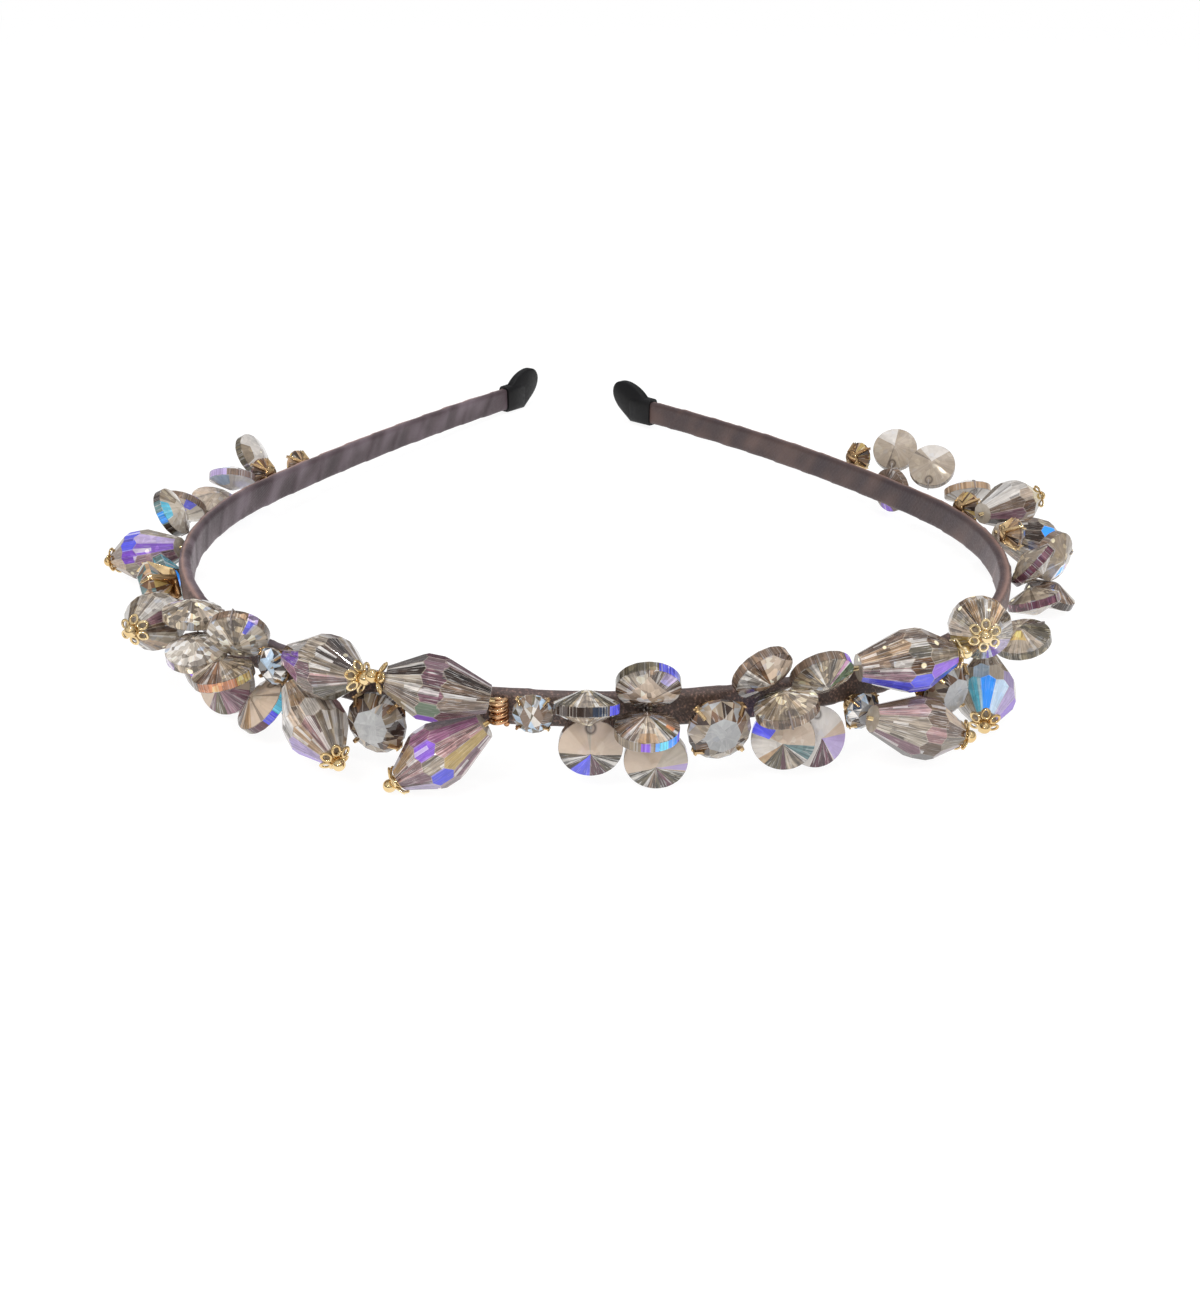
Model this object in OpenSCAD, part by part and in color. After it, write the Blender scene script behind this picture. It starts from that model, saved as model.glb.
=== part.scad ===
// Crystal headband: a narrow strip wrapped in satin ribbon, with a rubber tip on each end.
// Drilled crystal drops on capped pins, disc crystals grouped as petals, grey and clear
// stones in claw settings and a small wire coil are carried on its outer face.
// It lies on its lowest stones and on its two tips. The front is toward -Y, millimetres.

/* [Band] */
// Height of the wrapped strip
strip_h = 4.65; // [4:0.05:6]
// Thickness of the wrapped strip
strip_t = 1.86; // [1.4:0.02:2.2]
// Corner radius of the wrapped strip
strip_corner = 0.6; // [0.3:0.05:0.7]
// Angle by which the loop leans back to lie on its tips
lean = 2.5; // [1.5:0.1:3.5]

/* [Tips] */
// Length of the strip's end inside a tip
sleeve_l = 5.5; // [4:0.5:7]
// Length of the oval paddle
paddle_l = 11.8; // [10:0.1:13]
// Width of the paddle
paddle_w = 7.1; // [6:0.1:8]
// Thickness of the paddle
paddle_t = 1.9; // [1.5:0.1:2.5]
// Outward bend of the paddle
paddle_bend = 4; // [0:1:25]
// Angle by which the paddle points up
paddle_rise = 22; // [0:1:25]

/* [Crystal drops] */
// Length of a drop
drop_l = 12.6; // [12:0.1:13]
// Radius of a drop across the flats of its belt
drop_belt_r = 3.9; // [3.6:0.1:4]
// Radius of a drop's flat end at the cap
drop_cap_r = 1.6; // [1.4:0.1:1.8]
// Radius of a drop's flat end at the band
drop_tail_r = 1.8; // [1.6:0.1:2]
// Radius of the hole along a drop
drop_bore_r = 0.55; // [0.5:0.05:0.7]

/* [Caps and pins] */
// Radius of the pin through a drop
pin_r = 0.3; // [0.2:0.05:0.35]
// Radius of the ball on the pin's end
ball_r = 0.85; // [0.7:0.05:0.9]
// Radius of one petal of the flower cap
petal_r = 0.8; // [0.76:0.02:0.84]
// Radius of the hole in a petal
petal_hole_r = 0.36; // [0.25:0.01:0.42]
// Distance from the pin to a petal's centre
petal_reach = 1.45; // [1.4:0.05:1.5]

/* [Disc crystals] */
// Radius of a disc crystal
disc_r = 4; // [3.8:0.1:4.1]
// Height of a disc crystal's rim
disc_rim = 1.3; // [1.1:0.1:1.4]
// Distance from the middle of a disc to its point
disc_point = 2.1; // [1.9:0.1:2.1]
// Radius of the hole near a disc's rim
disc_hole_r = 0.55; // [0.4:0.05:0.6]

/* [Set stones] */
// Radius of a grey stone
grey_r = 4; // [3.8:0.1:4]
// Radius of a clear stone
clear_r = 2.5; // [2.3:0.1:2.5]

/* [Hidden] */
round_fn = 48;
arc_fn = 180;
gap = 0.15;
lap_l = 1.2;
lap_t = 0.04;
petals = 6;
petal_t = 0.4;
petal_tilt = 30;
drop_sides = 12;
disc_sides = 16;
stone_sides = 8;
disc_hole_reach = 3;
disc_table_r = 0.6;

// Arcs of the plan from the front centre to each end: radius, angle
RIGHT_ARCS = [[77, 33], [47.5, 84.5], [256, 17.9]];
LEFT_ARCS = [[72, 33], [54.5, 84.5], [395, 11.6]];

// Drops, at the middle of their length: name, along the band, out, up, turn, nod.
// The last two are the way the cap points: turn is from straight out toward the right,
// and nod is upward.
DROPS = [
    ["drop_1", -19.1, 6.1, 4.7, -75, 13],
    ["drop_2", -19, 5.9, -4.1, -68, -33],
    ["drop_3", 36.8, 5.3, 4.5, 70, 5],
    ["drop_4", 36.7, 8.6, -3.3, 72, -16],
    ["drop_5", 52.3, 5.4, -4.5, -58, -13],
    ["drop_6", 48.5, 5.6, 6.3, -50, 14],
    ["drop_7", 96.5, 8.6, -0.3, 6, -18],
    ["drop_8", 102.7, 8, 3.4, 18, 2],
    ["drop_9", -95.1, 7.7, -1.6, -18, -16],
    ["drop_10", -65.9, 6.6, 0.8, 48, 13],
    ["drop_11", -33.8, 5.3, 4.7, 75, 6],
    ["drop_12", -35.5, 6, -3.2, 60, -20],
];

// Discs, at their middle: name, along, out, up, turn, nod, side of the hole.
// Turn and nod are the way a point faces.
DISCS = [
    ["disc_1", -2.5, 5.2, 3, 0, 110, 180],
    ["disc_2", -2, 3.1, -3.4, 0, 0, 180],
    ["disc_3", 4.6, 3.5, 5, -5, -27, 0],
    ["disc_4", 4.3, 5.7, 0, 0, 88, 180],
    ["disc_5", 5.8, 3, -5.5, -8, 0, 180],
    ["disc_6", 18.2, 3.4, 5.6, 15, -25, 0],
    ["disc_7", 25.8, 3.7, 4.4, -5, -30, 0],
    ["disc_8", 19.9, 7.2, 2.4, -105, 75, 90],
    ["disc_9", 20.8, 4.9, -3.2, -25, 10, 180],
    ["disc_10", 26, 3.1, -4.8, -5, 20, 180],
    ["disc_11", 62.9, 5.1, -1.3, 57, -69, 180],
    ["disc_12", 79.6, 4.8, -2.8, 145, 65, 180],
    ["disc_13", 81.1, 4, 2.4, 165, 35, 180],
    ["disc_14", 87.1, 8.4, 1.5, -50, 0, 90],
    ["disc_15", 86.7, 8.8, -4.9, 0, 70, 180],
    ["disc_16", 111.5, 6.9, 2.6, 68, 52, 180],
    ["disc_17", 117.5, 4, 5.8, 40, -42, 0],
    ["disc_18", 129.5, 6.7, 5.1, 38, -38, 0],
    ["disc_19", 125.9, 3.2, -0.9, 0, 0, 180],
    ["disc_20", -128.3, 7.7, 3.8, 16, -28, 0],
    ["disc_21", -119.4, 4.9, 2.6, -66, 54, 0],
    ["disc_22", -115.4, 6, -0.7, -9, -67, 0],
    ["disc_23", -99.3, 4.6, 3.8, 1, -25, 0],
    ["disc_24", -88, 3.2, -2.5, 15, -20, 180],
    ["disc_25", -58.7, 4.3, 3.9, -25, -83, 0],
    ["disc_26", -48.3, 4.2, 4.7, 36, -25, 180],
    ["disc_27", -54.9, 6.4, 0.4, 55, 80, 180],
    ["disc_28", -60.2, 4, -3.7, 2, 5, 180],
    ["disc_29", -47.7, 7.7, 0.3, -68, 80, 180],
    ["disc_30", -52.7, 3.8, -4.5, 23, 21, 180],
    ["disc_31", -44.9, 4.5, -4.5, -29, 48, 180],
    ["disc_32", -109.2, 7.9, 0.8, -87, 38, 0],
];

// Grey stones, at the foot of their setting: name, along, out, up, turn, nod
GREY_STONES = [
    ["grey_stone_1", -27.3, 1.3, -2.2, 0, 5],
    ["grey_stone_2", 12.8, 1.2, -0.8, 0, 0],
    ["grey_stone_3", 44.2, 1.6, -1.7, 0, 0],
    ["grey_stone_4", -79, 1.3, 0.2, 5, -5],
];

// Clear stones, at the foot of their setting: along, out, up, turn, nod
CLEAR_STONES = [
    [-8.7, 1.2, 0.9, 0, 5],
    [32.3, 1.1, -2.3, 0, 0],
    [-43.2, 1.2, 1.3, 0, 5],
    [-135.2, 1.1, 0.9, 0, 0],
    [135.1, 1.1, 3, 0, 0],
    [107, 1.1, 2, 0, 0],
    [91.6, 1.1, 3.2, 0, 0],
    [-125.5, 1.2, 2.1, 0, 0],
];

// Middle of the wire coil: along, out, up
COIL = [-13, 2.3, 0.4];

function column(table, index) = [for (row = table) row[index]];

// Length of one arc of the plan
function arc_length(arc) = arc[0] * arc[1] * PI / 180;

// Length of the arcs before one of them
function length_before(arcs, index) =
    index == 0 ? 0 : arc_length(arcs[index - 1]) + length_before(arcs, index - 1);

// Place along one side of the plan: x, y, heading
function walk(arcs, along, index = 0, x = 0, y = 0, heading = 0) =
    let (
        radius = arcs[index][0],
        here = arc_length(arcs[index]),
        stops = along <= here || index == len(arcs) - 1,
        turned = heading + (stops ? along / radius * 180 / PI : arcs[index][1]),
        next_x = x + radius * (sin(turned) - sin(heading)),
        next_y = y - radius * (cos(turned) - cos(heading))
    )
    stops ? [next_x, next_y, turned]
          : walk(arcs, along - here, index + 1, next_x, next_y, turned);

// Stands the loop on the surface, with its origin under its middle
module at_rest() {
    translate([-0.12, -72.42, 9.44])
        rotate([-lean, 0, 0])
            children();
}

// Moves to a place on the band: X runs along it, -Y points out of the loop
module on_band(along, out, up) {
    side = along < 0 ? -1 : 1;
    place = walk(side < 0 ? LEFT_ARCS : RIGHT_ARCS, abs(along));
    translate([side * place[0], place[1], up])
        rotate(side * place[2])
            translate([0, -out, 0])
                children();
}

// Turns +Z to the way a piece faces
module facing(turn, nod) {
    rotate([0, 90 - nod, turn - 90])
        children();
}

// Ring of corners of a cut stone
function ring(sides, radius, height, shift = 0) =
    [for (i = [0 : sides - 1])
        let (angle = 360 * (i + shift) / sides)
        [radius * cos(angle), radius * sin(angle), height]];

// Cut stone: the flat facets that span its rings of corners
module cut_stone(rings) {
    corners = [for (corner_ring = rings) each corner_ring];
    hull()
        polyhedron(corners, [[for (i = [0 : len(corners) - 1]) i]]);
}

// Wrapped strip

module strip_section(grow = 0) {
    thick = strip_t + 2 * grow;
    high = strip_h + 2 * grow;
    square([thick - 2 * strip_corner, high], center = true);
    square([thick, high - 2 * strip_corner], center = true);
    for (x = [-1, 1], z = [-1, 1])
        translate([x * (thick / 2 - strip_corner), z * (high / 2 - strip_corner)])
            circle(strip_corner, $fn = 24);
}

// Moves to a place along one side: X runs on along the strip
module on_strip(arcs, along) {
    place = walk(arcs, along);
    translate([place[0], place[1], 0])
        rotate(place[2])
            children();
}

// One arc of the strip, stopped just short of both of its joints
module strip_arc(arcs, index) {
    radius = arcs[index][0];
    short = lap_l / 20;
    trim = short / radius * 180 / PI;
    on_strip(arcs, length_before(arcs, index) + short)
        translate([0, radius, 0])
            rotate(-90)
                rotate_extrude(angle = arcs[index][1] - 2 * trim, $fn = arc_fn)
                    translate([radius, 0])
                        strip_section();
}

// A turn of ribbon lapped over a joint of two arcs
module ribbon_lap() {
    rotate([90, 0, 90])
        linear_extrude(lap_l, center = true)
            strip_section(lap_t);
}

module strip_side(arcs) {
    for (i = [0 : len(arcs) - 1])
        strip_arc(arcs, i);
    for (i = [1 : len(arcs) - 1])
        on_strip(arcs, length_before(arcs, i))
            ribbon_lap();
}

module wrapped_band() {
    color([0.43, 0.36, 0.38])
        at_rest() {
            strip_side(RIGHT_ARCS);
            mirror([1, 0, 0])
                strip_side(LEFT_ARCS);
            ribbon_lap();
        }
}

// End tips

// Four round corners of the tip's section at one place along it
module tip_corners(x, thick, wide) {
    round = 0.8;
    for (y = [-1, 1], z = [-1, 1])
        translate([x, y * (thick / 2 - round), z * (wide / 2 - round)])
            sphere(round, $fn = 16);
}

// Oval paddle with a soft edge
module paddle() {
    centre_x = 0.9;
    centre_z = 1.15;
    rotate(-paddle_bend)
        rotate([0, -paddle_rise, 0])
            translate([centre_x, 0, centre_z])
                scale([paddle_l / paddle_w, 1, 1])
                    rotate([90, 0, 0])
                        hull() {
                            cylinder(h = paddle_t, r = paddle_w / 2 - 0.4, center = true, $fn = 40);
                            cylinder(h = paddle_t - 0.9, r = paddle_w / 2, center = true, $fn = 40);
                        }
}

module tip_body() {
    mouth_t = strip_t + 1.3;
    mouth_w = strip_h + 1.1;
    hull() {
        tip_corners(-sleeve_l, mouth_t, mouth_w);
        tip_corners(0, mouth_t - 0.1, mouth_w + 0.1);
    }
    hull() {
        tip_corners(0, mouth_t - 0.1, mouth_w + 0.1);
        paddle();
    }
}

// Socket for the strip's end
module tip_socket() {
    play = 0.24;
    depth = sleeve_l + 2;
    translate([-depth / 2 + 0.1, 0, 0])
        cube([depth, strip_t + play, strip_h + play], center = true);
}

module tip(arcs) {
    on_strip(arcs, length_before(arcs, len(arcs)))
        difference() {
            tip_body();
            tip_socket();
        }
}

module tip_right() {
    color([0.05, 0.05, 0.05])
        at_rest()
            tip(RIGHT_ARCS);
}

module tip_left() {
    color([0.05, 0.05, 0.05])
        at_rest()
            mirror([1, 0, 0])
                tip(LEFT_ARCS);
}

// Crystal drops

// Height at which a long facet ends in a peak beside the belt, from the height at which
// its two sides end, so that the facet stays flat
function peak(valley, end_r) =
    let (flat = cos(180 / drop_sides))
    valley * (drop_belt_r / flat - end_r * flat) / (drop_belt_r * flat - end_r * flat);

module drop_crystal() {
    tail_valley = 5.4;
    cap_valley = 4;
    belt_corner = drop_belt_r / cos(180 / drop_sides);
    difference() {
        cut_stone([
            ring(drop_sides, drop_tail_r, 0, 0.5),
            ring(drop_sides, drop_belt_r, tail_valley, 0.5),
            ring(drop_sides, belt_corner, peak(tail_valley, drop_tail_r)),
            ring(drop_sides, belt_corner, drop_l - peak(cap_valley, drop_cap_r)),
            ring(drop_sides, drop_belt_r, drop_l - cap_valley, 0.5),
            ring(drop_sides, drop_cap_r, drop_l, 0.5),
        ]);
        translate([0, 0, -1])
            cylinder(h = drop_l + 2, r = drop_bore_r, $fn = 24);
    }
}

// One petal of a cap: a pierced plate that slopes back over the drop's end
module cap_petal() {
    rotate([0, petal_tilt, 0])
        linear_extrude(petal_t, center = true)
            difference() {
                circle(petal_r, $fn = 32);
                circle(petal_hole_r, $fn = 24);
            }
}

// Flower cap, pin and ball, soldered into one piece
module cap_pin() {
    pin_past = 0.7;
    petal_h = drop_l + 0.45;
    ball_h = drop_l + 1.55;
    for (i = [0 : petals - 1])
        rotate(360 * i / petals)
            translate([petal_reach, 0, petal_h])
                cap_petal();
    translate([0, 0, drop_l + gap])
        cylinder(h = ball_h - drop_l - gap, r = 0.75, $fn = 32);
    translate([0, 0, ball_h])
        sphere(ball_r, $fn = round_fn);
    translate([0, 0, -pin_past])
        cylinder(h = ball_h + pin_past, r = pin_r, $fn = round_fn);
}

// Places a drop or its pin by a row of the table
module at_drop(row) {
    on_band(row[1], row[2], row[3])
        facing(row[4], row[5])
            translate([0, 0, -drop_l / 2])
                children();
}

module drop(row) {
    color([0.72, 0.62, 0.66, 0.7])
        at_rest()
            at_drop(row)
                drop_crystal();
}

module drop_pins(side) {
    color([0.83, 0.63, 0.3])
        at_rest()
            for (row = DROPS)
                if (sign(row[1]) == side)
                    at_drop(row)
                        cap_pin();
}

// Disc crystals

module disc_crystal() {
    difference() {
        cut_stone([
            ring(disc_sides, disc_table_r, disc_point),
            ring(disc_sides, disc_r, disc_rim / 2),
            ring(disc_sides, disc_r, -disc_rim / 2),
            ring(disc_sides, disc_table_r, -disc_point),
        ]);
        translate([disc_hole_reach, 0, 0])
            cylinder(h = 4, r = disc_hole_r, center = true, $fn = 24);
    }
}

module disc(row) {
    color([0.8, 0.78, 0.76, 0.7])
        at_rest()
            on_band(row[1], row[2], row[3])
                facing(row[4], row[5])
                    rotate(row[6])
                        disc_crystal();
}

// Set stones

// Heights in a setting, from the radius of its stone
function base_t(r) = 0.3 + 0.08 * r;
function girdle_low(r) = base_t(r) + 0.15 + 0.68 * r;
function girdle_high(r) = girdle_low(r) + 0.14 * r;
function table_h(r) = girdle_high(r) + 0.36 * r;
function crown_h(r, radius) = girdle_high(r) + 0.36 * r * (r - radius) / (0.42 * r);

module set_stone(r) {
    cut_stone([
        ring(stone_sides, 0.1 * r, base_t(r) + 0.15),
        ring(2 * stone_sides, r, girdle_low(r)),
        ring(2 * stone_sides, r, girdle_high(r)),
        ring(stone_sides, 0.86 * r, crown_h(r, 0.84 * r), 0.5),
        ring(stone_sides, 0.58 * r, table_h(r)),
    ]);
}

// One claw, drawn from the pin line outward and up
module claw(r) {
    wide = 0.32 * r;
    thick = 0.45;
    clear = 0.14;
    hook = 0.8 * r;
    hook_h = crown_h(r, hook) + 0.2;
    outline = [
        [0, 0],
        [0.55 * r, 0],
        [r + clear + thick, girdle_low(r)],
        [r + clear + thick, girdle_high(r) + 0.3],
        [hook, hook_h + 0.3],
        [hook, hook_h],
        [r + clear, girdle_high(r) + 0.12],
        [r + clear, girdle_low(r)],
        [0.5 * r, base_t(r)],
        [0, base_t(r)],
    ];
    rotate([90, 0, 0])
        linear_extrude(wide, center = true)
            polygon(outline);
}

module claw_setting(r) {
    cylinder(h = base_t(r), r = 0.55 * r, $fn = round_fn);
    for (i = [0 : 3])
        rotate(45 + 90 * i)
            claw(r);
}

module grey_stone(row) {
    color([0.62, 0.64, 0.68])
        at_rest()
            on_band(row[1], row[2], row[3])
                facing(row[4], row[5])
                    set_stone(grey_r);
}

module grey_settings() {
    color([0.78, 0.6, 0.3])
        at_rest()
            for (row = GREY_STONES)
                on_band(row[1], row[2], row[3])
                    facing(row[4], row[5])
                        claw_setting(grey_r);
}

module clear_stones() {
    color([0.75, 0.82, 0.88, 0.7])
        at_rest()
            for (row = CLEAR_STONES)
                on_band(row[0], row[1], row[2])
                    facing(row[3], row[4])
                        set_stone(clear_r);
}

module clear_settings() {
    color([0.83, 0.66, 0.36])
        at_rest()
            for (row = CLEAR_STONES)
                on_band(row[0], row[1], row[2])
                    facing(row[3], row[4])
                        claw_setting(clear_r);
}

// Wire coil: a round wire of six sides wound four times
module wire_coil() {
    turns = 4;
    wire_r = 0.4;
    coil_r = 0.9;
    pitch = 0.9;
    steps = 14;
    sides = 6;
    rings = turns * steps;
    centre_h = -turns * pitch / 2;
    corners = [for (i = [0 : rings], j = [0 : sides - 1])
        let (
            angle = 360 * i / steps,
            reach = coil_r + wire_r * cos(360 * j / sides),
            height = centre_h + pitch * i / steps + wire_r * sin(360 * j / sides)
        )
        [reach * cos(angle), reach * sin(angle), height]];
    walls = [for (i = [0 : rings - 1], j = [0 : sides - 1])
        let (
            a = i * sides + j,
            b = i * sides + (j + 1) % sides
        )
        each [[a, b, b + sides], [a, b + sides, a + sides]]];
    ends = [
        [for (j = [sides - 1 : -1 : 0]) j],
        [for (j = [0 : sides - 1]) rings * sides + j],
    ];
    color([0.8, 0.55, 0.4])
        at_rest()
            on_band(COIL[0], COIL[1], COIL[2])
                polyhedron(corners, concat(walls, ends));
}

wrapped_band();
tip_left();
tip_right();
for (row = DROPS)
    drop(row);
drop_pins(-1);  // drop_pins_left
drop_pins(1);  // drop_pins_right
for (row = DISCS)
    disc(row);
for (row = GREY_STONES)
    grey_stone(row);
grey_settings();
clear_stones();
clear_settings();
wire_coil();
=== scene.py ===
"""Crystal headband: satin-wrapped band, cut crystals, gold caps, claw settings and soft tips."""

import logging
import math
import random
from dataclasses import dataclass, field
from enum import Enum

import bmesh
import bpy
from mathutils import Euler, Matrix, Vector, noise


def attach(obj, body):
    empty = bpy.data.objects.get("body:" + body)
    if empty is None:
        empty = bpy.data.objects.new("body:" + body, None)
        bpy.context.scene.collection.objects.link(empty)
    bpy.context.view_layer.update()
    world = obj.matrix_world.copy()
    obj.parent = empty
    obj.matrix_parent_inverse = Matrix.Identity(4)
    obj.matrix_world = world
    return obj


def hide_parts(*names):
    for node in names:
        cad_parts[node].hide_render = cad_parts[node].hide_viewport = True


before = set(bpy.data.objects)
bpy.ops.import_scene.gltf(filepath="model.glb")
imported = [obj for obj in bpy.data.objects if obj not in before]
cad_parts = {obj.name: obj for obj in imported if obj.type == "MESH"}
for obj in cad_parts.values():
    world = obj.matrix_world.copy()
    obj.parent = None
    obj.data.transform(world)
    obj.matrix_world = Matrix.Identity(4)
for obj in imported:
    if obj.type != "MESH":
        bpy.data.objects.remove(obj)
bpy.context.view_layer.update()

LOG = logging.getLogger("headband")
MM = 0.001
BODY = "root"
# Degrees from one facet of a drop to the next, and across one strip of inner reflection
FACET_STEP = 30
STRIP = 7.5
STRIPS = 24
STRIP_SEED = 500
# Width in mm of the chamfer between the facets of drops and discs
CHAMFER = 0.06
NO_GLOW = (0.0, 0.0, 0.0, 1.0)

Colour = tuple[float, float, float, float]
Material = bpy.types.Material
Mesh = bmesh.types.BMesh
Node = bpy.types.Node
NodeTree = bpy.types.NodeTree
Outputs = bpy.types.bpy_prop_collection


def screen(red: float, green: float, blue: float) -> Colour:
    """Linear colour of a screen colour.

    Args:
        red: Red, 0 to 255.
        green: Green, 0 to 255.
        blue: Blue, 0 to 255.

    Returns:
        The linear colour with full alpha.
    """
    linear = [
        c / 12.92 if c <= 0.04045 else ((c + 0.055) / 1.055) ** 2.4
        for c in (red / 255, green / 255, blue / 255)
    ]
    return (linear[0], linear[1], linear[2], 1.0)


def blend_colours(first: Colour, second: Colour, share: float) -> Colour:
    """Mix of two colours, share 1 being all of the second."""
    mixed = [a + (b - a) * share for a, b in zip(first[:3], second[:3])]
    return (mixed[0], mixed[1], mixed[2], 1.0)


def scaled(colour: Colour, by: float) -> Colour:
    """A colour made lighter or darker."""
    return (colour[0] * by, colour[1] * by, colour[2] * by, 1.0)


def lift(height: float) -> Matrix:
    """Matrix that moves a thing up."""
    return Matrix.Translation((0, 0, height))


def turn_by(degrees: float, axis: str) -> Matrix:
    """Matrix that turns a thing about an axis."""
    return Matrix.Rotation(math.radians(degrees), 4, axis)


def move(mesh: Mesh, matrix: Matrix) -> None:
    """Moves a whole bmesh."""
    bmesh.ops.transform(mesh, matrix=matrix, verts=mesh.verts)


class Film(Enum):
    """Colours that the glass and its coating show, as screen colours."""

    WHITE = (244, 242, 240)
    SILVER = (224, 219, 213)
    ICE = (188, 212, 236)
    BEIGE = (220, 200, 180)
    PALE = (206, 195, 179)
    MIST = (180, 167, 151)
    TAN = (190, 158, 124)
    GREIGE = (154, 139, 119)
    TAUPE = (130, 109, 93)
    OLIVE = (102, 94, 76)
    SMOKE = (72, 59, 52)
    BROWN = (114, 84, 62)
    GOLD = (206, 178, 112)
    ORANGE = (208, 138, 98)
    PINK = (196, 138, 176)
    ROSE = (188, 148, 148)
    MAUVE = (150, 114, 128)
    PLUM = (104, 64, 78)
    LILAC = (188, 170, 218)
    VIOLET = (146, 96, 226)
    BLUE = (92, 94, 234)
    AZURE = (52, 146, 248)
    CYAN = (104, 202, 232)
    TEAL = (104, 134, 136)
    GREEN = (108, 130, 102)
    OPAL = (172, 174, 176)
    NIGHT = (52, 64, 86)

    @property
    def colour(self) -> Colour:
        """The film's linear colour."""
        return screen(*self.value)


@dataclass(frozen=True)
class Arc:
    """One arc of the band's plan, in mm and degrees."""

    radius: float
    angle: float

    @property
    def length(self) -> float:
        """Length of the arc."""
        return self.radius * math.radians(self.angle)


@dataclass(frozen=True)
class Plan:
    """The band's plan and its place at rest, in mm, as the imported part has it."""

    right: tuple[Arc, ...] = (Arc(77, 33), Arc(47.5, 84.5), Arc(256, 17.9))
    left: tuple[Arc, ...] = (Arc(72, 33), Arc(54.5, 84.5), Arc(395, 11.6))
    lean: float = 2.5
    shift: tuple[float, float, float] = (-0.12, -72.42, 9.44)

    def at_rest(self) -> Matrix:
        """Matrix from the band's own frame to the part's frame, in mm."""
        return Matrix.Translation(self.shift) @ turn_by(-self.lean, "X")

    def walk(self, arcs: tuple[Arc, ...], along: float) -> tuple[float, float, float]:
        """Place and heading at a distance along one side.

        Args:
            arcs: The side's arcs from the front centre.
            along: Distance from the front centre.

        Returns:
            x, y and the heading in degrees.
        """
        x = y = heading = 0.0
        for index, arc in enumerate(arcs):
            last = index == len(arcs) - 1
            inside = along <= arc.length or last
            turned = heading + (math.degrees(along / arc.radius) if inside else arc.angle)
            a, b = math.radians(heading), math.radians(turned)
            x += arc.radius * (math.sin(b) - math.sin(a))
            y -= arc.radius * (math.cos(b) - math.cos(a))
            if inside:
                return x, y, turned
            along -= arc.length
            heading = turned
        return x, y, heading

    def centre(
        self, arcs: tuple[Arc, ...], before: float, radius: float
    ) -> tuple[tuple[float, float], float]:
        """Centre of an arc of one side, drawn as a right side.

        Args:
            arcs: The side's arcs from the front centre.
            before: Distance at which the arc starts.
            radius: Its radius.

        Returns:
            x and y of the centre, and the heading at the arc's start in degrees.
        """
        x, y, heading = self.walk(arcs, before)
        a = math.radians(heading)
        return (x - radius * math.sin(a), y + radius * math.cos(a)), heading

    def seat(self, along: float, out: float, up: float) -> Matrix:
        """A place on the band.

        Args:
            along: Distance along the band from the front centre, the left side being below 0.
            out: Distance out of the loop.
            up: Distance above the middle of the band.

        Returns:
            The matrix to it, where X runs along the band and -Y points out of the loop.
        """
        side = -1 if along < 0 else 1
        x, y, heading = self.walk(self.left if side < 0 else self.right, abs(along))
        turn = turn_by(side * heading, "Z")
        return (
            self.at_rest()
            @ Matrix.Translation((side * x, y, up))
            @ turn
            @ Matrix.Translation((0, -out, 0))
        )

    def facing(self, turn: float, nod: float) -> Matrix:
        """Matrix that turns +Z to the way a piece faces."""
        about_up = turn_by(turn - 90, "Z")
        return about_up @ turn_by(90 - nod, "Y")


PLAN = Plan()


@dataclass(frozen=True)
class Seat:
    """Where a stone sits: along the band, out, up, and the way it faces."""

    along: float
    out: float
    up: float
    turn: float
    nod: float

    def matrix(self) -> Matrix:
        """The stone's matrix in mm."""
        return PLAN.seat(self.along, self.out, self.up) @ PLAN.facing(self.turn, self.nod)

    def way(self, turn: float, nod: float) -> Vector:
        """A direction in the part's frame, given as turn and nod on the band here."""
        whole = PLAN.seat(self.along, 0, 0) @ PLAN.facing(turn, nod)
        return (whole.to_3x3() @ Vector((0, 0, 1))).normalized()


class Zone(Enum):
    """Rows of facets on a drop, from its tail to its cap."""

    TAIL = "tail"
    BELT = "belt"
    CAP = "cap"
    END = "end"


@dataclass(frozen=True)
class Facet:
    """One coloured facet of a drop, with its row and how far up it lies from the front."""

    zone: Zone
    up: float
    film: Film
    lines: float
    # Share of the facet's colour shown as painted glow
    glow: float = 0.0


@dataclass(frozen=True)
class DropLook:
    """Body colour of a drop, how lined and how sparkling it is, and its coloured facets."""

    body: Film
    lines: float
    spark: float
    facets: tuple[Facet, ...]


@dataclass(frozen=True)
class Wedge:
    """A coloured wedge on a disc's face: 0 degrees is down or to the front, 90 is along."""

    film: Film
    at: float
    spread: float
    lines: float = 0.0
    # Share of the wedge's colour shown as painted glow
    glow: float = 0.0
    apex_at: float = 0.0
    apex_reach: float = 0.0
    near: float = -9.0
    far: float = 9.0

    def edges(self) -> tuple[tuple[Vector, float], ...]:
        """The straight edges that bound it.

        Returns:
            The way out of each edge and its distance from the disc's middle.
        """
        apex = round_to(self.apex_at) * self.apex_reach
        found = []
        for side in (1, -1):
            out = round_to(self.at + side * (self.spread / 2 + 90))
            found.append((out, out.dot(apex)))
        if self.far < 8:
            found.append((round_to(self.at), self.far))
        if self.near > -8:
            found.append((-round_to(self.at), -self.near))
        return tuple(found)

    def holds(self, point: Vector) -> bool:
        """Whether a point of the face lies in it."""
        return all(point.dot(out) <= reach + 1e-5 for out, reach in self.edges())


@dataclass(frozen=True)
class RimPart:
    """A coloured length of a disc's rim."""

    film: Film
    at: float
    spread: float
    # Share of the rim's colour shown as painted glow
    glow: float = 0.0


@dataclass(frozen=True)
class DiscLook:
    """Colours of a disc: its face, the wedges on it in order, its rim and its sparkle."""

    face: Film
    lines: float
    wedges: tuple[Wedge, ...]
    rim: Film
    rims: tuple[RimPart, ...]
    spark: float
    spark_rim: float


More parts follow.
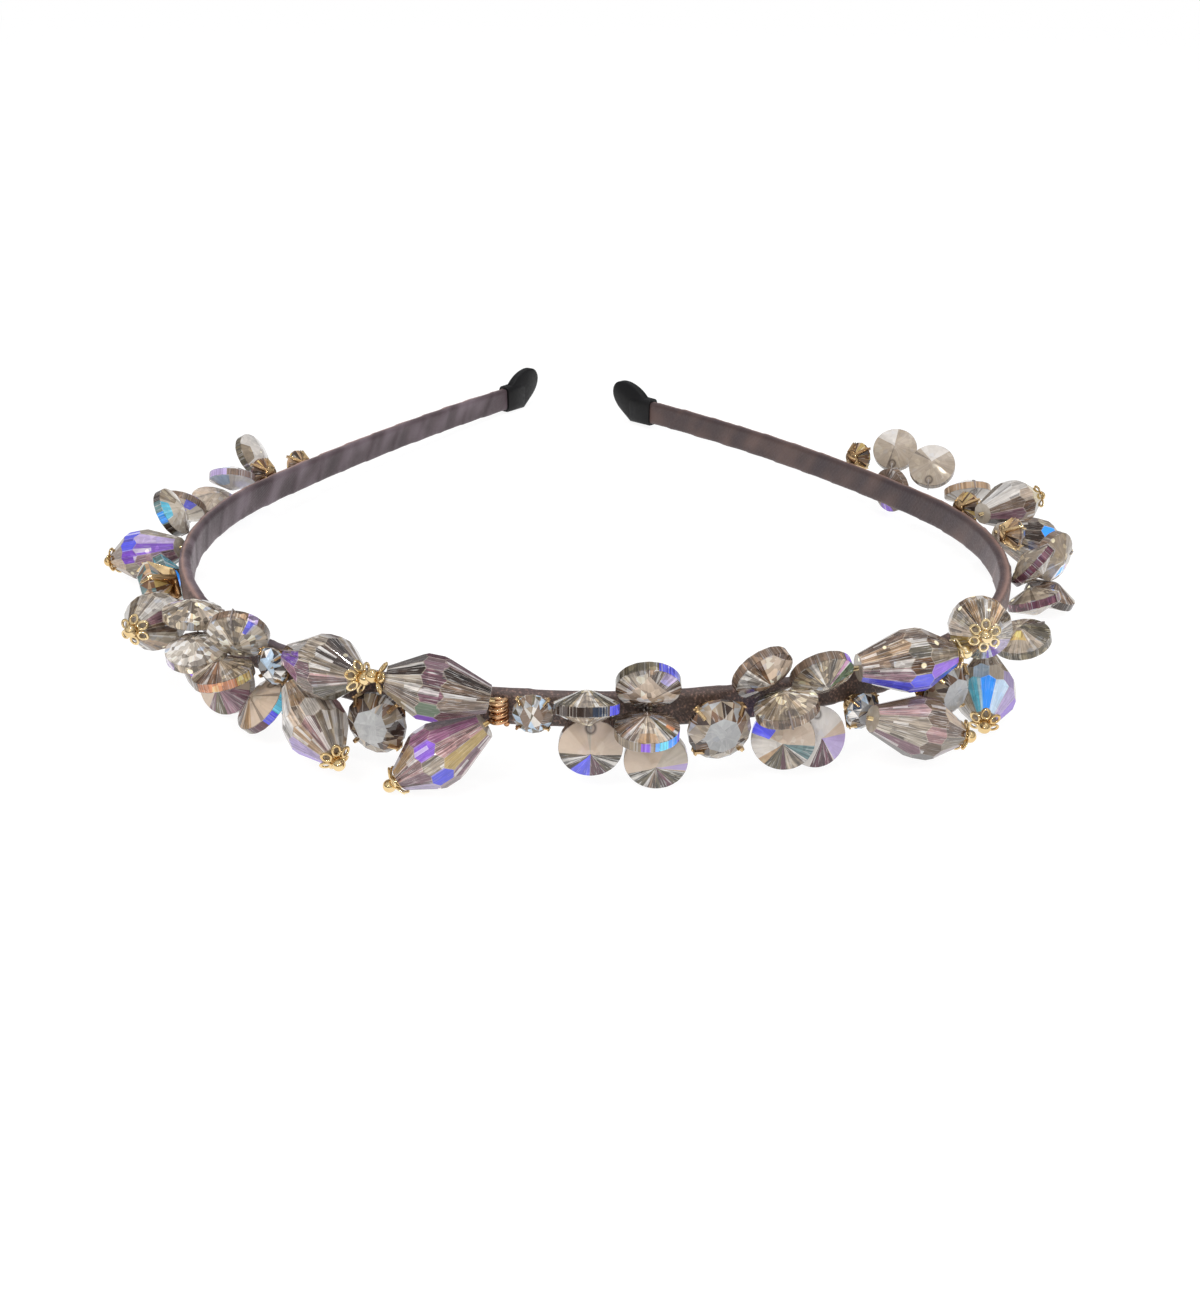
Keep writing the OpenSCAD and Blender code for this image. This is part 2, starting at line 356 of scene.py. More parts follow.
def round_to(angle: float) -> Vector:
    """The way on a disc's face at an angle in degrees."""
    return Vector((math.cos(math.radians(angle)), math.sin(math.radians(angle)), 0.0))


def row(zone: Zone, up: float, *facets: tuple[Film, float] | tuple[Film, float, float]) -> tuple[Facet, ...]:
    """Facets side by side in one row of a drop, each one facet lower than the last.

    Args:
        zone: The row.
        up: How far up from the front the first one lies, in degrees.
        facets: Film, lines and, where it has one, the glow of each.

    Returns:
        The facets.
    """
    return tuple(Facet(zone, up - FACET_STEP * index, *facet) for index, facet in enumerate(facets))


def drop(
    seat: Seat, body: Film, lines: float, spark: float, *rows: tuple[Facet, ...]
) -> tuple[Seat, DropLook]:
    """One drop's row of the table.

    Args:
        seat: Where it sits.
        body: Film of the facets that no row names.
        lines: How lined those are.
        spark: How sparkling the drop is.
        rows: Its coloured facets, row by row.

    Returns:
        Its seat and its look.
    """
    return seat, DropLook(body, lines, spark, tuple(facet for facets in rows for facet in facets))


def disc(
    seat: Seat,
    hole: float,
    face: Film,
    lines: float,
    rim: Film,
    spark: float,
    spark_rim: float,
    *parts: Wedge | RimPart,
) -> tuple[Seat, float, DiscLook]:
    """One disc's row of the table.

    Args:
        seat: Where it sits.
        hole: Angle of its drill hole.
        face: Film of its face.
        lines: How lined the face is.
        rim: Film of its rim.
        spark: How sparkling its middle is.
        spark_rim: How sparkling it is near the rim.
        parts: The coloured parts of its face and rim; a later one lies over an earlier one.

    Returns:
        Its seat, its hole's angle and its look.
    """
    wedges = tuple(part for part in parts if isinstance(part, Wedge))
    rims = tuple(part for part in parts if isinstance(part, RimPart))
    return seat, hole, DiscLook(face, lines, wedges, rim, rims, spark, spark_rim)


TAIL, BELT, CAP = Zone.TAIL, Zone.BELT, Zone.CAP

# Where each stone sits and the colours it shows, in the columns that drop, disc and Seat name
DROPS: dict[str, tuple[Seat, DropLook]] = {
    "drop_1": drop(
        Seat(-19.1, 6.1, 4.7, -75, 13), Film.MAUVE, 0.6, 0.15,
        row(CAP, 62, (Film.SMOKE, 0.5), (Film.SMOKE, 0.9), (Film.MIST, 1.0), (Film.TAUPE, 0.9),
            (Film.GREIGE, 0.3)),
        row(BELT, 77, (Film.PLUM, 0.2), (Film.MAUVE, 0.5), (Film.PLUM, 1.0), (Film.MAUVE, 0.9),
            (Film.GREEN, 0.2), (Film.VIOLET, 0.1, 0.05)),
        row(TAIL, 62, (Film.PLUM, 0.4), (Film.SMOKE, 0.9), (Film.TAUPE, 1.0), (Film.TAUPE, 0.9),
            (Film.PLUM, 0.4)),
    ),
    "drop_2": drop(
        Seat(-19, 5.9, -4.1, -68, -33), Film.ROSE, 0.7, 0.2,
        row(CAP, 53, (Film.PLUM, 0.2), (Film.TAN, 0.6), (Film.ROSE, 1.0), (Film.MAUVE, 0.6),
            (Film.LILAC, 0.3)),
        row(BELT, 68, (Film.LILAC, 0.1), (Film.PINK, 0.6), (Film.VIOLET, 0.4, 0.3), (Film.MIST, 0.9),
            (Film.BLUE, 0.2, 0.2), (Film.MAUVE, 0.3)),
        row(TAIL, 53, (Film.MAUVE, 0.4), (Film.PINK, 0.6, 0.06), (Film.ROSE, 1.0),
            (Film.GOLD, 0.3, 0.05), (Film.MAUVE, 0.4)),
    ),
    "drop_3": drop(
        Seat(36.8, 5.3, 4.5, 70, 5), Film.BROWN, 0.6, 0.3,
        row(CAP, 60, (Film.BROWN, 0.4), (Film.TAUPE, 0.9), (Film.GREIGE, 0.6),
            (Film.VIOLET, 0.2, 0.25), (Film.BLUE, 0.2, 0.1)),
        row(BELT, 75, (Film.BROWN, 0.5), (Film.TAUPE, 0.6), (Film.OLIVE, 0.9), (Film.BROWN, 1.0),
            (Film.BLUE, 0.2, 0.35), (Film.BLUE, 0.2, 0.3)),
        row(TAIL, 60, (Film.BROWN, 0.6), (Film.TAN, 0.9), (Film.TAUPE, 1.0), (Film.MAUVE, 0.9),
            (Film.BLUE, 0.4, 0.1)),
    ),
    "drop_4": drop(
        Seat(36.7, 8.6, -3.3, 72, -16), Film.MAUVE, 0.5, 0.1,
        row(CAP, 26, (Film.TAN, 0.4), (Film.BROWN, 0.6), (Film.GREIGE, 0.4)),
        row(BELT, 41, (Film.TAUPE, 0.4), (Film.TAUPE, 0.9), (Film.ROSE, 0.5), (Film.TAUPE, 0.3),
            (Film.SMOKE, 0.2)),
        row(TAIL, 56, (Film.TAUPE, 0.4), (Film.ROSE, 0.9), (Film.MIST, 1.0), (Film.PALE, 0.9),
            (Film.MAUVE, 0.3), (Film.SMOKE, 0.2)),
    ),
    "drop_5": drop(
        Seat(52.3, 5.4, -4.5, -58, -13), Film.GREIGE, 0.5, 0.15,
        row(CAP, 141, (Film.SILVER, 0.4), (Film.PALE, 0.7), (Film.CYAN, 0.5, 0.15),
            (Film.AZURE, 0.3, 0.55), (Film.ICE, 0.3, 0.35), (Film.LILAC, 0.3, 0.15),
            (Film.VIOLET, 0.1, 0.1)),
        row(BELT, 126, (Film.MIST, 0.3), (Film.PALE, 0.4), (Film.ICE, 0.3, 0.1),
            (Film.MIST, 0.2, 0.2), (Film.LILAC, 0.2)),
    ),
    "drop_6": drop(
        Seat(48.5, 5.6, 6.3, -50, 14), Film.TAN, 1.0, 0.3,
        row(CAP, 152, (Film.BEIGE, 0.8), (Film.PALE, 1.0)),
        row(CAP, 62, (Film.GREIGE, 1.0)),
        row(CAP, 2, (Film.GREIGE, 1.0), (Film.MIST, 1.0), (Film.LILAC, 0.3), (Film.VIOLET, 0.3),
            (Film.TAN, 0.8)),
        row(CAP, -178, (Film.GOLD, 0.8)),
    ),
    "drop_7": drop(
        Seat(96.5, 8.6, -0.3, 6, -18), Film.TAUPE, 0.6, 0.3,
        row(CAP, -53, (Film.TAN, 0.3), (Film.TAN, 0.3)),
        row(BELT, -8, (Film.MIST, 0.4), (Film.AZURE, 0.1, 0.7)),
        row(BELT, -98, (Film.SMOKE, 0.3)),
        row(TAIL, 7, (Film.TAUPE, 0.4), (Film.SMOKE, 0.5), (Film.SMOKE, 0.5), (Film.GREIGE, 0.6),
            (Film.MIST, 0.5)),
    ),
    "drop_8": drop(
        Seat(102.7, 8, 3.4, 18, 2), Film.GREIGE, 0.4, 0.1,
        row(CAP, 0, (Film.GOLD, 0.3), (Film.GOLD, 0.3)),
        row(BELT, 15, (Film.SILVER, 0.4), (Film.BEIGE, 0.4), (Film.BROWN, 0.4), (Film.TAN, 0.3)),
        row(TAIL, 30, (Film.WHITE, 0.4), (Film.SILVER, 0.5), (Film.TAUPE, 0.5), (Film.MAUVE, 0.5),
            (Film.SMOKE, 0.4)),
    ),
    "drop_9": drop(
        Seat(-95.1, 7.7, -1.6, -18, -16), Film.TAUPE, 0.5, 0.2,
        row(CAP, -9, (Film.BROWN, 0.3), (Film.BROWN, 0.4), (Film.TAN, 0.4), (Film.TAN, 0.3)),
        row(BELT, 6, (Film.BLUE, 0.1, 0.3), (Film.BLUE, 0.2, 0.3), (Film.VIOLET, 0.3, 0.05),
            (Film.GREIGE, 0.5), (Film.BROWN, 0.4)),
        row(TAIL, 21, (Film.MIST, 0.4), (Film.LILAC, 0.3, 0.15), (Film.VIOLET, 0.4, 0.04),
            (Film.MAUVE, 0.5), (Film.MAUVE, 0.4), (Film.TEAL, 0.5)),
    ),
    "drop_10": drop(
        Seat(-65.9, 6.6, 0.8, 48, 13), Film.MIST, 0.3, 0.3,
        row(CAP, 151, (Film.TAUPE, 0.5), (Film.MAUVE, 0.5), (Film.SILVER, 0.4), (Film.MIST, 0.5),
            (Film.GREIGE, 0.4)),
        row(CAP, -119, (Film.BROWN, 0.4), (Film.TAN, 0.4), (Film.PALE, 0.4)),
        row(BELT, 166, (Film.PALE, 0.3), (Film.ROSE, 0.4), (Film.SILVER, 0.3), (Film.MIST, 0.4)),
    ),
    "drop_11": drop(
        Seat(-33.8, 5.3, 4.7, 75, 6), Film.TAUPE, 0.7, 0.2,
        row(CAP, 90, (Film.MIST, 0.6), (Film.SMOKE, 0.8), (Film.SMOKE, 1.0), (Film.GREIGE, 1.0),
            (Film.ROSE, 0.9), (Film.OLIVE, 0.5), (Film.OLIVE, 0.3)),
        row(BELT, 45, (Film.MIST, 0.9), (Film.GREIGE, 1.0), (Film.PLUM, 0.8), (Film.BROWN, 0.5)),
        row(TAIL, 30, (Film.TAUPE, 0.8), (Film.VIOLET, 0.6), (Film.PINK, 0.5)),
    ),
    "drop_12": drop(
        Seat(-35.5, 6, -3.2, 60, -20), Film.ROSE, 0.5, 0.15,
        row(CAP, 111, (Film.BEIGE, 0.3), (Film.SILVER, 0.5), (Film.GREIGE, 0.5), (Film.ROSE, 0.8),
            (Film.TAN, 0.5), (Film.LILAC, 0.4, 0.05), (Film.VIOLET, 0.2, 0.1)),
        row(BELT, 66, (Film.PALE, 0.6), (Film.SILVER, 0.7), (Film.BEIGE, 0.9), (Film.WHITE, 0.6)),
        row(TAIL, 51, (Film.BEIGE, 0.7), (Film.TAN, 0.8), (Film.SILVER, 0.8)),
    ),
}

DISCS: dict[str, tuple[Seat, float, DiscLook]] = {
    "disc_1": disc(
        Seat(-2.5, 5.2, 3, 0, 110), 180, Film.GREIGE, 0.9, Film.SMOKE, 0.7, 0.5,
        Wedge(Film.MIST, 0, 24, 0.6), Wedge(Film.OLIVE, 60, 50, 0.9),
        Wedge(Film.OLIVE, 300, 60, 0.9),
        RimPart(Film.NIGHT, 26, 30), RimPart(Film.BLUE, 68, 44, 0.35),
    ),
    "disc_2": disc(
        Seat(-2, 3.1, -3.4, 0, 0), 180, Film.BEIGE, 0.0, Film.TAUPE, 0.15, 0.0,
        Wedge(Film.OLIVE, 358, 156, 1.0), Wedge(Film.BLUE, 340, 40, 0.3, 0.1),
        Wedge(Film.PLUM, 15, 32, 0.7), Wedge(Film.PALE, 184, 14, 0.2),
        RimPart(Film.BLUE, 355, 84, 0.2),
    ),
    "disc_3": disc(
        Seat(4.6, 3.5, 5, -5, -27), 0, Film.TAUPE, 0.9, Film.OLIVE, 1.0, 0.4,
        Wedge(Film.LILAC, 136, 30, 0.5, 0.05, near=2.6), Wedge(Film.MIST, 215, 60, 0.9),
        Wedge(Film.PALE, 198, 30, 0.2, near=2.4, far=3.4),
        Wedge(Film.BEIGE, 0, 82, 0.1, apex_at=180, apex_reach=3.2),
        Wedge(Film.TAUPE, 0, 120, 1.0, near=0.9),
        RimPart(Film.BLUE, 140, 50, 0.1),
    ),
    "disc_4": disc(
        Seat(4.3, 5.7, 0, 0, 88), 180, Film.TAUPE, 0.8, Film.GREIGE, 0.8, 0.3,
        Wedge(Film.MIST, 0, 60, 0.9), Wedge(Film.OLIVE, 50, 40, 0.9),
        Wedge(Film.ORANGE, 64, 14, 0.0, 0.1, near=2.4, far=3.4),
        Wedge(Film.TAN, 355, 40, 0.3, near=2.6),
        RimPart(Film.VIOLET, 352, 20, 0.05), RimPart(Film.AZURE, 34, 50, 0.4),
        RimPart(Film.CYAN, 24, 18, 0.3), RimPart(Film.BLUE, 74, 34, 0.25),
    ),
    "disc_5": disc(
        Seat(5.8, 3, -5.5, -8, 0), 180, Film.BEIGE, 0.0, Film.MIST, 0.1, 0.0,
        Wedge(Film.PALE, 122, 64, 0.05), Wedge(Film.LILAC, 80, 16, 0.1, 0.1),
        Wedge(Film.OLIVE, 4, 130, 1.0), Wedge(Film.PLUM, 24, 24, 0.8),
        Wedge(Film.TAUPE, 350, 24, 0.9),
        RimPart(Film.LILAC, 80, 60, 0.1),
    ),
    "disc_6": disc(
        Seat(18.2, 3.4, 5.6, 15, -25), 0, Film.TAUPE, 0.6, Film.TAUPE, 1.0, 0.4,
        Wedge(Film.BROWN, 190, 70, 0.6), Wedge(Film.SILVER, 262, 50, 1.0),
        Wedge(Film.BEIGE, 150, 120, 0.05, far=3.3),
    ),
    "disc_7": disc(
        Seat(25.8, 3.7, 4.4, -5, -30), 0, Film.GREIGE, 0.7, Film.TAUPE, 1.0, 0.4,
        Wedge(Film.GREEN, 118, 46, 0.2, 0.02), Wedge(Film.PINK, 144, 10, 0.1),
        Wedge(Film.PALE, 0, 170, 0.6),
        RimPart(Film.VIOLET, 120, 50, 0.02),
    ),
    "disc_8": disc(
        Seat(19.9, 7.2, 2.4, -105, 75), 90, Film.GREIGE, 0.5, Film.TAUPE, 0.9, 0.7,
        Wedge(Film.OLIVE, 300, 60, 0.4), Wedge(Film.MIST, 150, 60, 0.6),
    ),
    "disc_9": disc(
        Seat(20.8, 4.9, -3.2, -25, 10), 180, Film.BEIGE, 0.05, Film.GREIGE, 0.3, 0.1,
        Wedge(Film.SILVER, 285, 60, 0.1), Wedge(Film.TAN, 322, 18, 0.2),
        Wedge(Film.OLIVE, 345, 34, 0.5), Wedge(Film.PLUM, 5, 12, 0.3),
        Wedge(Film.MIST, 32, 44, 0.9), Wedge(Film.TEAL, 68, 30, 0.5),
        Wedge(Film.BLUE, 238, 46, 0.2, 0.35, near=1.6),
        RimPart(Film.BLUE, 238, 40, 0.3),
    ),
    "disc_10": disc(
        Seat(26, 3.1, -4.8, -5, 20), 180, Film.SILVER, 0.05, Film.GREIGE, 0.15, 0.0,
        Wedge(Film.PLUM, 6, 50, 0.7), Wedge(Film.LILAC, 62, 56, 0.1, 0.05),
        Wedge(Film.BEIGE, 102, 26, 0.1),
        RimPart(Film.LILAC, 64, 50, 0.05),
    ),
    "disc_11": disc(
        Seat(62.9, 5.1, -1.3, 57, -69), 180, Film.MIST, 0.4, Film.OLIVE, 0.6, 0.5,
        Wedge(Film.OLIVE, 200, 120, 0.4), Wedge(Film.MIST, 120, 60, 0.4),
        Wedge(Film.GOLD, 320, 60, 0.4, 0.1, near=0.6, far=2.0),
    ),
    "disc_12": disc(
        Seat(79.6, 4.8, -2.8, 145, 65), 180, Film.MIST, 0.15, Film.PLUM, 0.5, 0.4,
        Wedge(Film.MIST, 90, 90, 0.2),
    ),
    "disc_13": disc(
        Seat(81.1, 4, 2.4, 165, 35), 180, Film.GREIGE, 0.2, Film.PLUM, 0.6, 0.4,
        Wedge(Film.MIST, 200, 90, 0.2),
    ),
    "disc_14": disc(
        Seat(87.1, 8.4, 1.5, -50, 0), 90, Film.GREIGE, 0.15, Film.TAUPE, 0.4, 0.2,
        Wedge(Film.WHITE, 18, 56, 0.0, 0.2, near=0.9, far=3.4),
        Wedge(Film.AZURE, 22, 44, 0.1, 0.7, near=1.3, far=3.1),
        Wedge(Film.PINK, 46, 16, 0.0, 0.1, near=1.6, far=3.2),
    ),
    "disc_15": disc(
        Seat(86.7, 8.8, -4.9, 0, 70), 180, Film.TAUPE, 0.5, Film.SMOKE, 0.4, 0.3,
        Wedge(Film.GREIGE, 90, 60, 0.3), Wedge(Film.MIST, 0, 60, 0.2),
        RimPart(Film.LILAC, 345, 40),
    ),
    "disc_16": disc(
        Seat(111.5, 6.9, 2.6, 68, 52), 180, Film.SILVER, 0.1, Film.TAN, 0.2, 0.1,
        Wedge(Film.GREIGE, 90, 50, 0.1),
    ),
    "disc_17": disc(
        Seat(117.5, 4, 5.8, 40, -42), 0, Film.MIST, 0.1, Film.GREIGE, 0.2, 0.1,
        Wedge(Film.SILVER, 180, 80, 0.0),
    ),
    "disc_18": disc(
        Seat(129.5, 6.7, 5.1, 38, -38), 0, Film.MIST, 0.1, Film.GREIGE, 0.2, 0.1,
        Wedge(Film.SILVER, 150, 60, 0.0),
    ),
    "disc_19": disc(
        Seat(125.9, 3.2, -0.9, 0, 0), 180, Film.TAUPE, 0.2, Film.TAUPE, 0.3, 0.0,
        Wedge(Film.VIOLET, 0, 50, 0.2),
        RimPart(Film.BLUE, 0, 60),
    ),
    "disc_20": disc(
        Seat(-128.3, 7.7, 3.8, 16, -28), 0, Film.SILVER, 0.05, Film.OLIVE, 0.25, 0.15,
        Wedge(Film.GREIGE, 110, 60, 0.1, near=2.0),
    ),
    "disc_21": disc(
        Seat(-119.4, 4.9, 2.6, -66, 54), 0, Film.SILVER, 0.1, Film.TAUPE, 0.2, 0.1,
        Wedge(Film.ICE, 150, 70, 0.1, near=1.6), Wedge(Film.BLUE, 340, 60, 0.1, 0.3, near=1.2),
        RimPart(Film.LILAC, 150, 60, 0.05), RimPart(Film.BLUE, 340, 60, 0.2),
    ),
    "disc_22": disc(
        Seat(-115.4, 6, -0.7, -9, -67), 0, Film.MIST, 0.2, Film.TAUPE, 0.4, 0.3,
        Wedge(Film.BEIGE, 180, 90, 0.1),
    ),
    "disc_23": disc(
        Seat(-99.3, 4.6, 3.8, 1, -25), 0, Film.PALE, 0.1, Film.SMOKE, 0.4, 0.2,
        Wedge(Film.GREIGE, 170, 50, 0.2, near=1.4), Wedge(Film.CYAN, 112, 50, 0.2, 0.05, near=2.4),
        RimPart(Film.TEAL, 112, 60, 0.15), RimPart(Film.AZURE, 100, 30, 0.1),
    ),
    "disc_24": disc(
        Seat(-88, 3.2, -2.5, 15, -20), 180, Film.OLIVE, 0.4, Film.TEAL, 0.8, 0.5,
        Wedge(Film.CYAN, 180, 90, 0.6, 0.15), Wedge(Film.AZURE, 100, 50, 0.1, 0.6, near=1.8),
        RimPart(Film.AZURE, 100, 60, 0.5),
    ),
    "disc_25": disc(
        Seat(-58.7, 4.3, 3.9, -25, -83), 0, Film.MIST, 0.35, Film.MIST, 1.0, 0.9,
        Wedge(Film.PALE, 0, 90, 0.4), Wedge(Film.GREIGE, 120, 60, 0.4),
        Wedge(Film.PALE, 250, 50, 0.3),
        RimPart(Film.LILAC, 0, 24),
    ),
    "disc_26": disc(
        Seat(-48.3, 4.2, 4.7, 36, -25), 180, Film.PALE, 0.35, Film.TAUPE, 1.0, 0.9,
        Wedge(Film.GREIGE, 180, 60, 0.4), Wedge(Film.SILVER, 40, 100, 0.3),
        Wedge(Film.BLUE, 140, 16, 0.1, 0.1, near=2.2),
        RimPart(Film.LILAC, 140, 20, 0.1),
    ),
    "disc_27": disc(
        Seat(-54.9, 6.4, 0.4, 55, 80), 180, Film.SILVER, 0.3, Film.MIST, 1.0, 0.8,
        Wedge(Film.MIST, 60, 70, 0.4), Wedge(Film.PALE, 180, 80, 0.4),
        RimPart(Film.LILAC, 300, 40),
    ),
    "disc_28": disc(
        Seat(-60.2, 4, -3.7, 2, 5), 180, Film.PALE, 0.05, Film.TAUPE, 0.3, 0.0,
        Wedge(Film.TAUPE, 350, 110, 0.5), Wedge(Film.VIOLET, 66, 44, 0.2, 0.25, near=1.4),
        Wedge(Film.BLUE, 84, 24, 0.1, 0.25, near=1.8),
        RimPart(Film.LILAC, 270, 90, 0.05), RimPart(Film.PLUM, 0, 90),
    ),
    "disc_29": disc(
        Seat(-47.7, 7.7, 0.3, -68, 80), 180, Film.GREIGE, 0.6, Film.TAUPE, 0.8, 0.5,
        Wedge(Film.TAN, 0, 70, 0.6), Wedge(Film.BROWN, 90, 60, 0.6),
        RimPart(Film.ORANGE, 120, 110, 0.05), RimPart(Film.GOLD, 168, 40, 0.05),
    ),
    "disc_30": disc(
        Seat(-52.7, 3.8, -4.5, 23, 21), 180, Film.BEIGE, 0.05, Film.TAUPE, 0.2, 0.0,
        Wedge(Film.MAUVE, 30, 120, 0.6), Wedge(Film.OLIVE, 0, 30, 0.8),
    ),
    "disc_31": disc(
        Seat(-44.9, 4.5, -4.5, -29, 48), 180, Film.BEIGE, 0.1, Film.GREIGE, 0.3, 0.0,
        Wedge(Film.BROWN, 330, 90, 0.9), Wedge(Film.TAN, 30, 40, 0.5),
        RimPart(Film.PLUM, 60, 40), RimPart(Film.BLUE, 96, 30, 0.2),
        RimPart(Film.CYAN, 126, 40, 0.3),
    ),
    "disc_32": disc(
        Seat(-109.2, 7.9, 0.8, -87, 38), 0, Film.PALE, 0.1, Film.TAUPE, 0.4, 0.2,
        Wedge(Film.BEIGE, 180, 100, 0.1), Wedge(Film.BLUE, 228, 30, 0.1, 0.05, near=2.4),
    ),
}

GREY_STONES: dict[str, Seat] = {
    "grey_stone_1": Seat(-27.3, 1.3, -2.2, 0, 5),
    "grey_stone_2": Seat(12.8, 1.2, -0.8, 0, 0),
    "grey_stone_3": Seat(44.2, 1.6, -1.7, 0, 0),
    "grey_stone_4": Seat(-79, 1.3, 0.2, 5, -5),
}

CLEAR_STONES: tuple[Seat, ...] = (
    Seat(-8.7, 1.2, 0.9, 0, 5),
    Seat(32.3, 1.1, -2.3, 0, 0),
    Seat(-43.2, 1.2, 1.3, 0, 5),
    Seat(-135.2, 1.1, 0.9, 0, 0),
    Seat(135.1, 1.1, 3, 0, 0),
    Seat(107, 1.1, 2, 0, 0),
    Seat(91.6, 1.1, 3.2, 0, 0),
    Seat(-125.5, 1.2, 2.1, 0, 0),
)

COIL = Seat(-13, 2.3, 0.4, 0, 0)


# Shader helpers and the shared effects


@dataclass
class Tree:
    """A node tree with short calls to add and join nodes."""

    nodes: NodeTree

    def feed(self, node: Node, values: dict[str | int, object]) -> Node:
        """Sets or links a node's inputs.

        Args:
            node: The node.
            values: A number, a colour or an output for each input, by its name or number.

        Returns:
            The node.
        """
        for key, value in values.items():
            if isinstance(value, (int, float, tuple)):
                node.inputs[key].default_value = value
            else:
                self.nodes.links.new(value, node.inputs[key])
        return node

    def add(
        self, kind: str, values: dict[str | int, object] | None = None, **settings: object
    ) -> Node:
        """Adds a node.

        Args:
            kind: Its type.
            values: Its inputs, as feed takes them.
            settings: Its properties.

        Returns:
            The node.
        """
        node = self.nodes.nodes.new(kind)
        for name, setting in settings.items():
            setattr(node, name, setting)
        return self.feed(node, values or {})

    def math(self, operation: str, first: object, second: object) -> object:
        """Result of a math node on two outputs or numbers."""
        return self.add("ShaderNodeMath", {0: first, 1: second}, operation=operation).outputs[0]

    def mix(self, share: object, first: object, second: object, blend: str = "MIX") -> object:
        """Result of a mix of two colours or outputs."""
        values = {0: share, 6: first, 7: second}
        return self.add("ShaderNodeMix", values, data_type="RGBA", blend_type=blend).outputs[2]

    def ramp(
        self, source: object, stops: tuple[tuple[float, Colour], ...], change: str = "LINEAR"
    ) -> object:
        """A colour ramp.

        Args:
            source: The output that runs along it.
            stops: Place and colour of each stop.
            change: How the colour changes from stop to stop.

        Returns:
            Its colour.
        """
        node = self.add("ShaderNodeValToRGB", {0: source})
        node.color_ramp.interpolation = change
        elements = node.color_ramp.elements
        while len(elements) < len(stops):
            elements.new(0.5)
        for element, (at, colour) in zip(elements, stops):
            element.position = at
            element.color = colour
        return node.outputs[0]

    def rescale(self, source: object, low: float, high: float, to_low: float, to_high: float) -> object:
        """A value taken from one range to another, and kept inside it."""
        values = {0: source, 1: low, 2: high, 3: to_low, 4: to_high}
        return self.add("ShaderNodeMapRange", values, clamp=True).outputs[0]

    def noise(self, place: object, scale: object, detail: object, **settings: object) -> object:
        """Value of soft noise at a place."""
        values = {"Vector": place, "Scale": scale, "Detail": detail}
        return self.add("ShaderNodeTexNoise", values, **settings).outputs[0]

    def cells(self, place: object, scale: float, **settings: object) -> Node:
        """Adds a pattern of cells at a place."""
        values = {"Vector": place, "Scale": scale}
        return self.add("ShaderNodeTexVoronoi", values, feature="F1", **settings)

    def split(self, colour: object) -> Outputs:
        """Red, green and blue of a colour."""
        return self.add("ShaderNodeSeparateColor", {0: colour}).outputs

    def grey(self, level: object) -> object:
        """The grey of a level."""
        return self.add("ShaderNodeCombineColor", {0: level, 1: level, 2: level}).outputs[0]

    def bump(self, height: object, strength: float, distance: float) -> object:
        """Normal of a bump of a height, with its distance in metres."""
        values = {"Height": height, "Strength": strength, "Distance": distance}
        return self.add("ShaderNodeBump", values).outputs[0]


def new_group(
    name: str, given: dict[str, float], made: tuple[str, ...]
) -> tuple[Tree, Node, Node]:
    """A node group with named inputs and outputs.

    Args:
        name: The group's name.
        given: Its inputs and their first values.
        made: Its outputs.

    Returns:
        Its tree, the node of its inputs and the node of its outputs.
    """
    group = bpy.data.node_groups.new(name, "ShaderNodeTree")
    for label, value in given.items():
        made_in = group.interface.new_socket(name=label, in_out="INPUT", socket_type="NodeSocketFloat")
        made_in.default_value = value
    for label in made:
        group.interface.new_socket(name=label, in_out="OUTPUT", socket_type="NodeSocketFloat")
    tree = Tree(group)
    return tree, tree.add("NodeGroupInput"), tree.add("NodeGroupOutput")


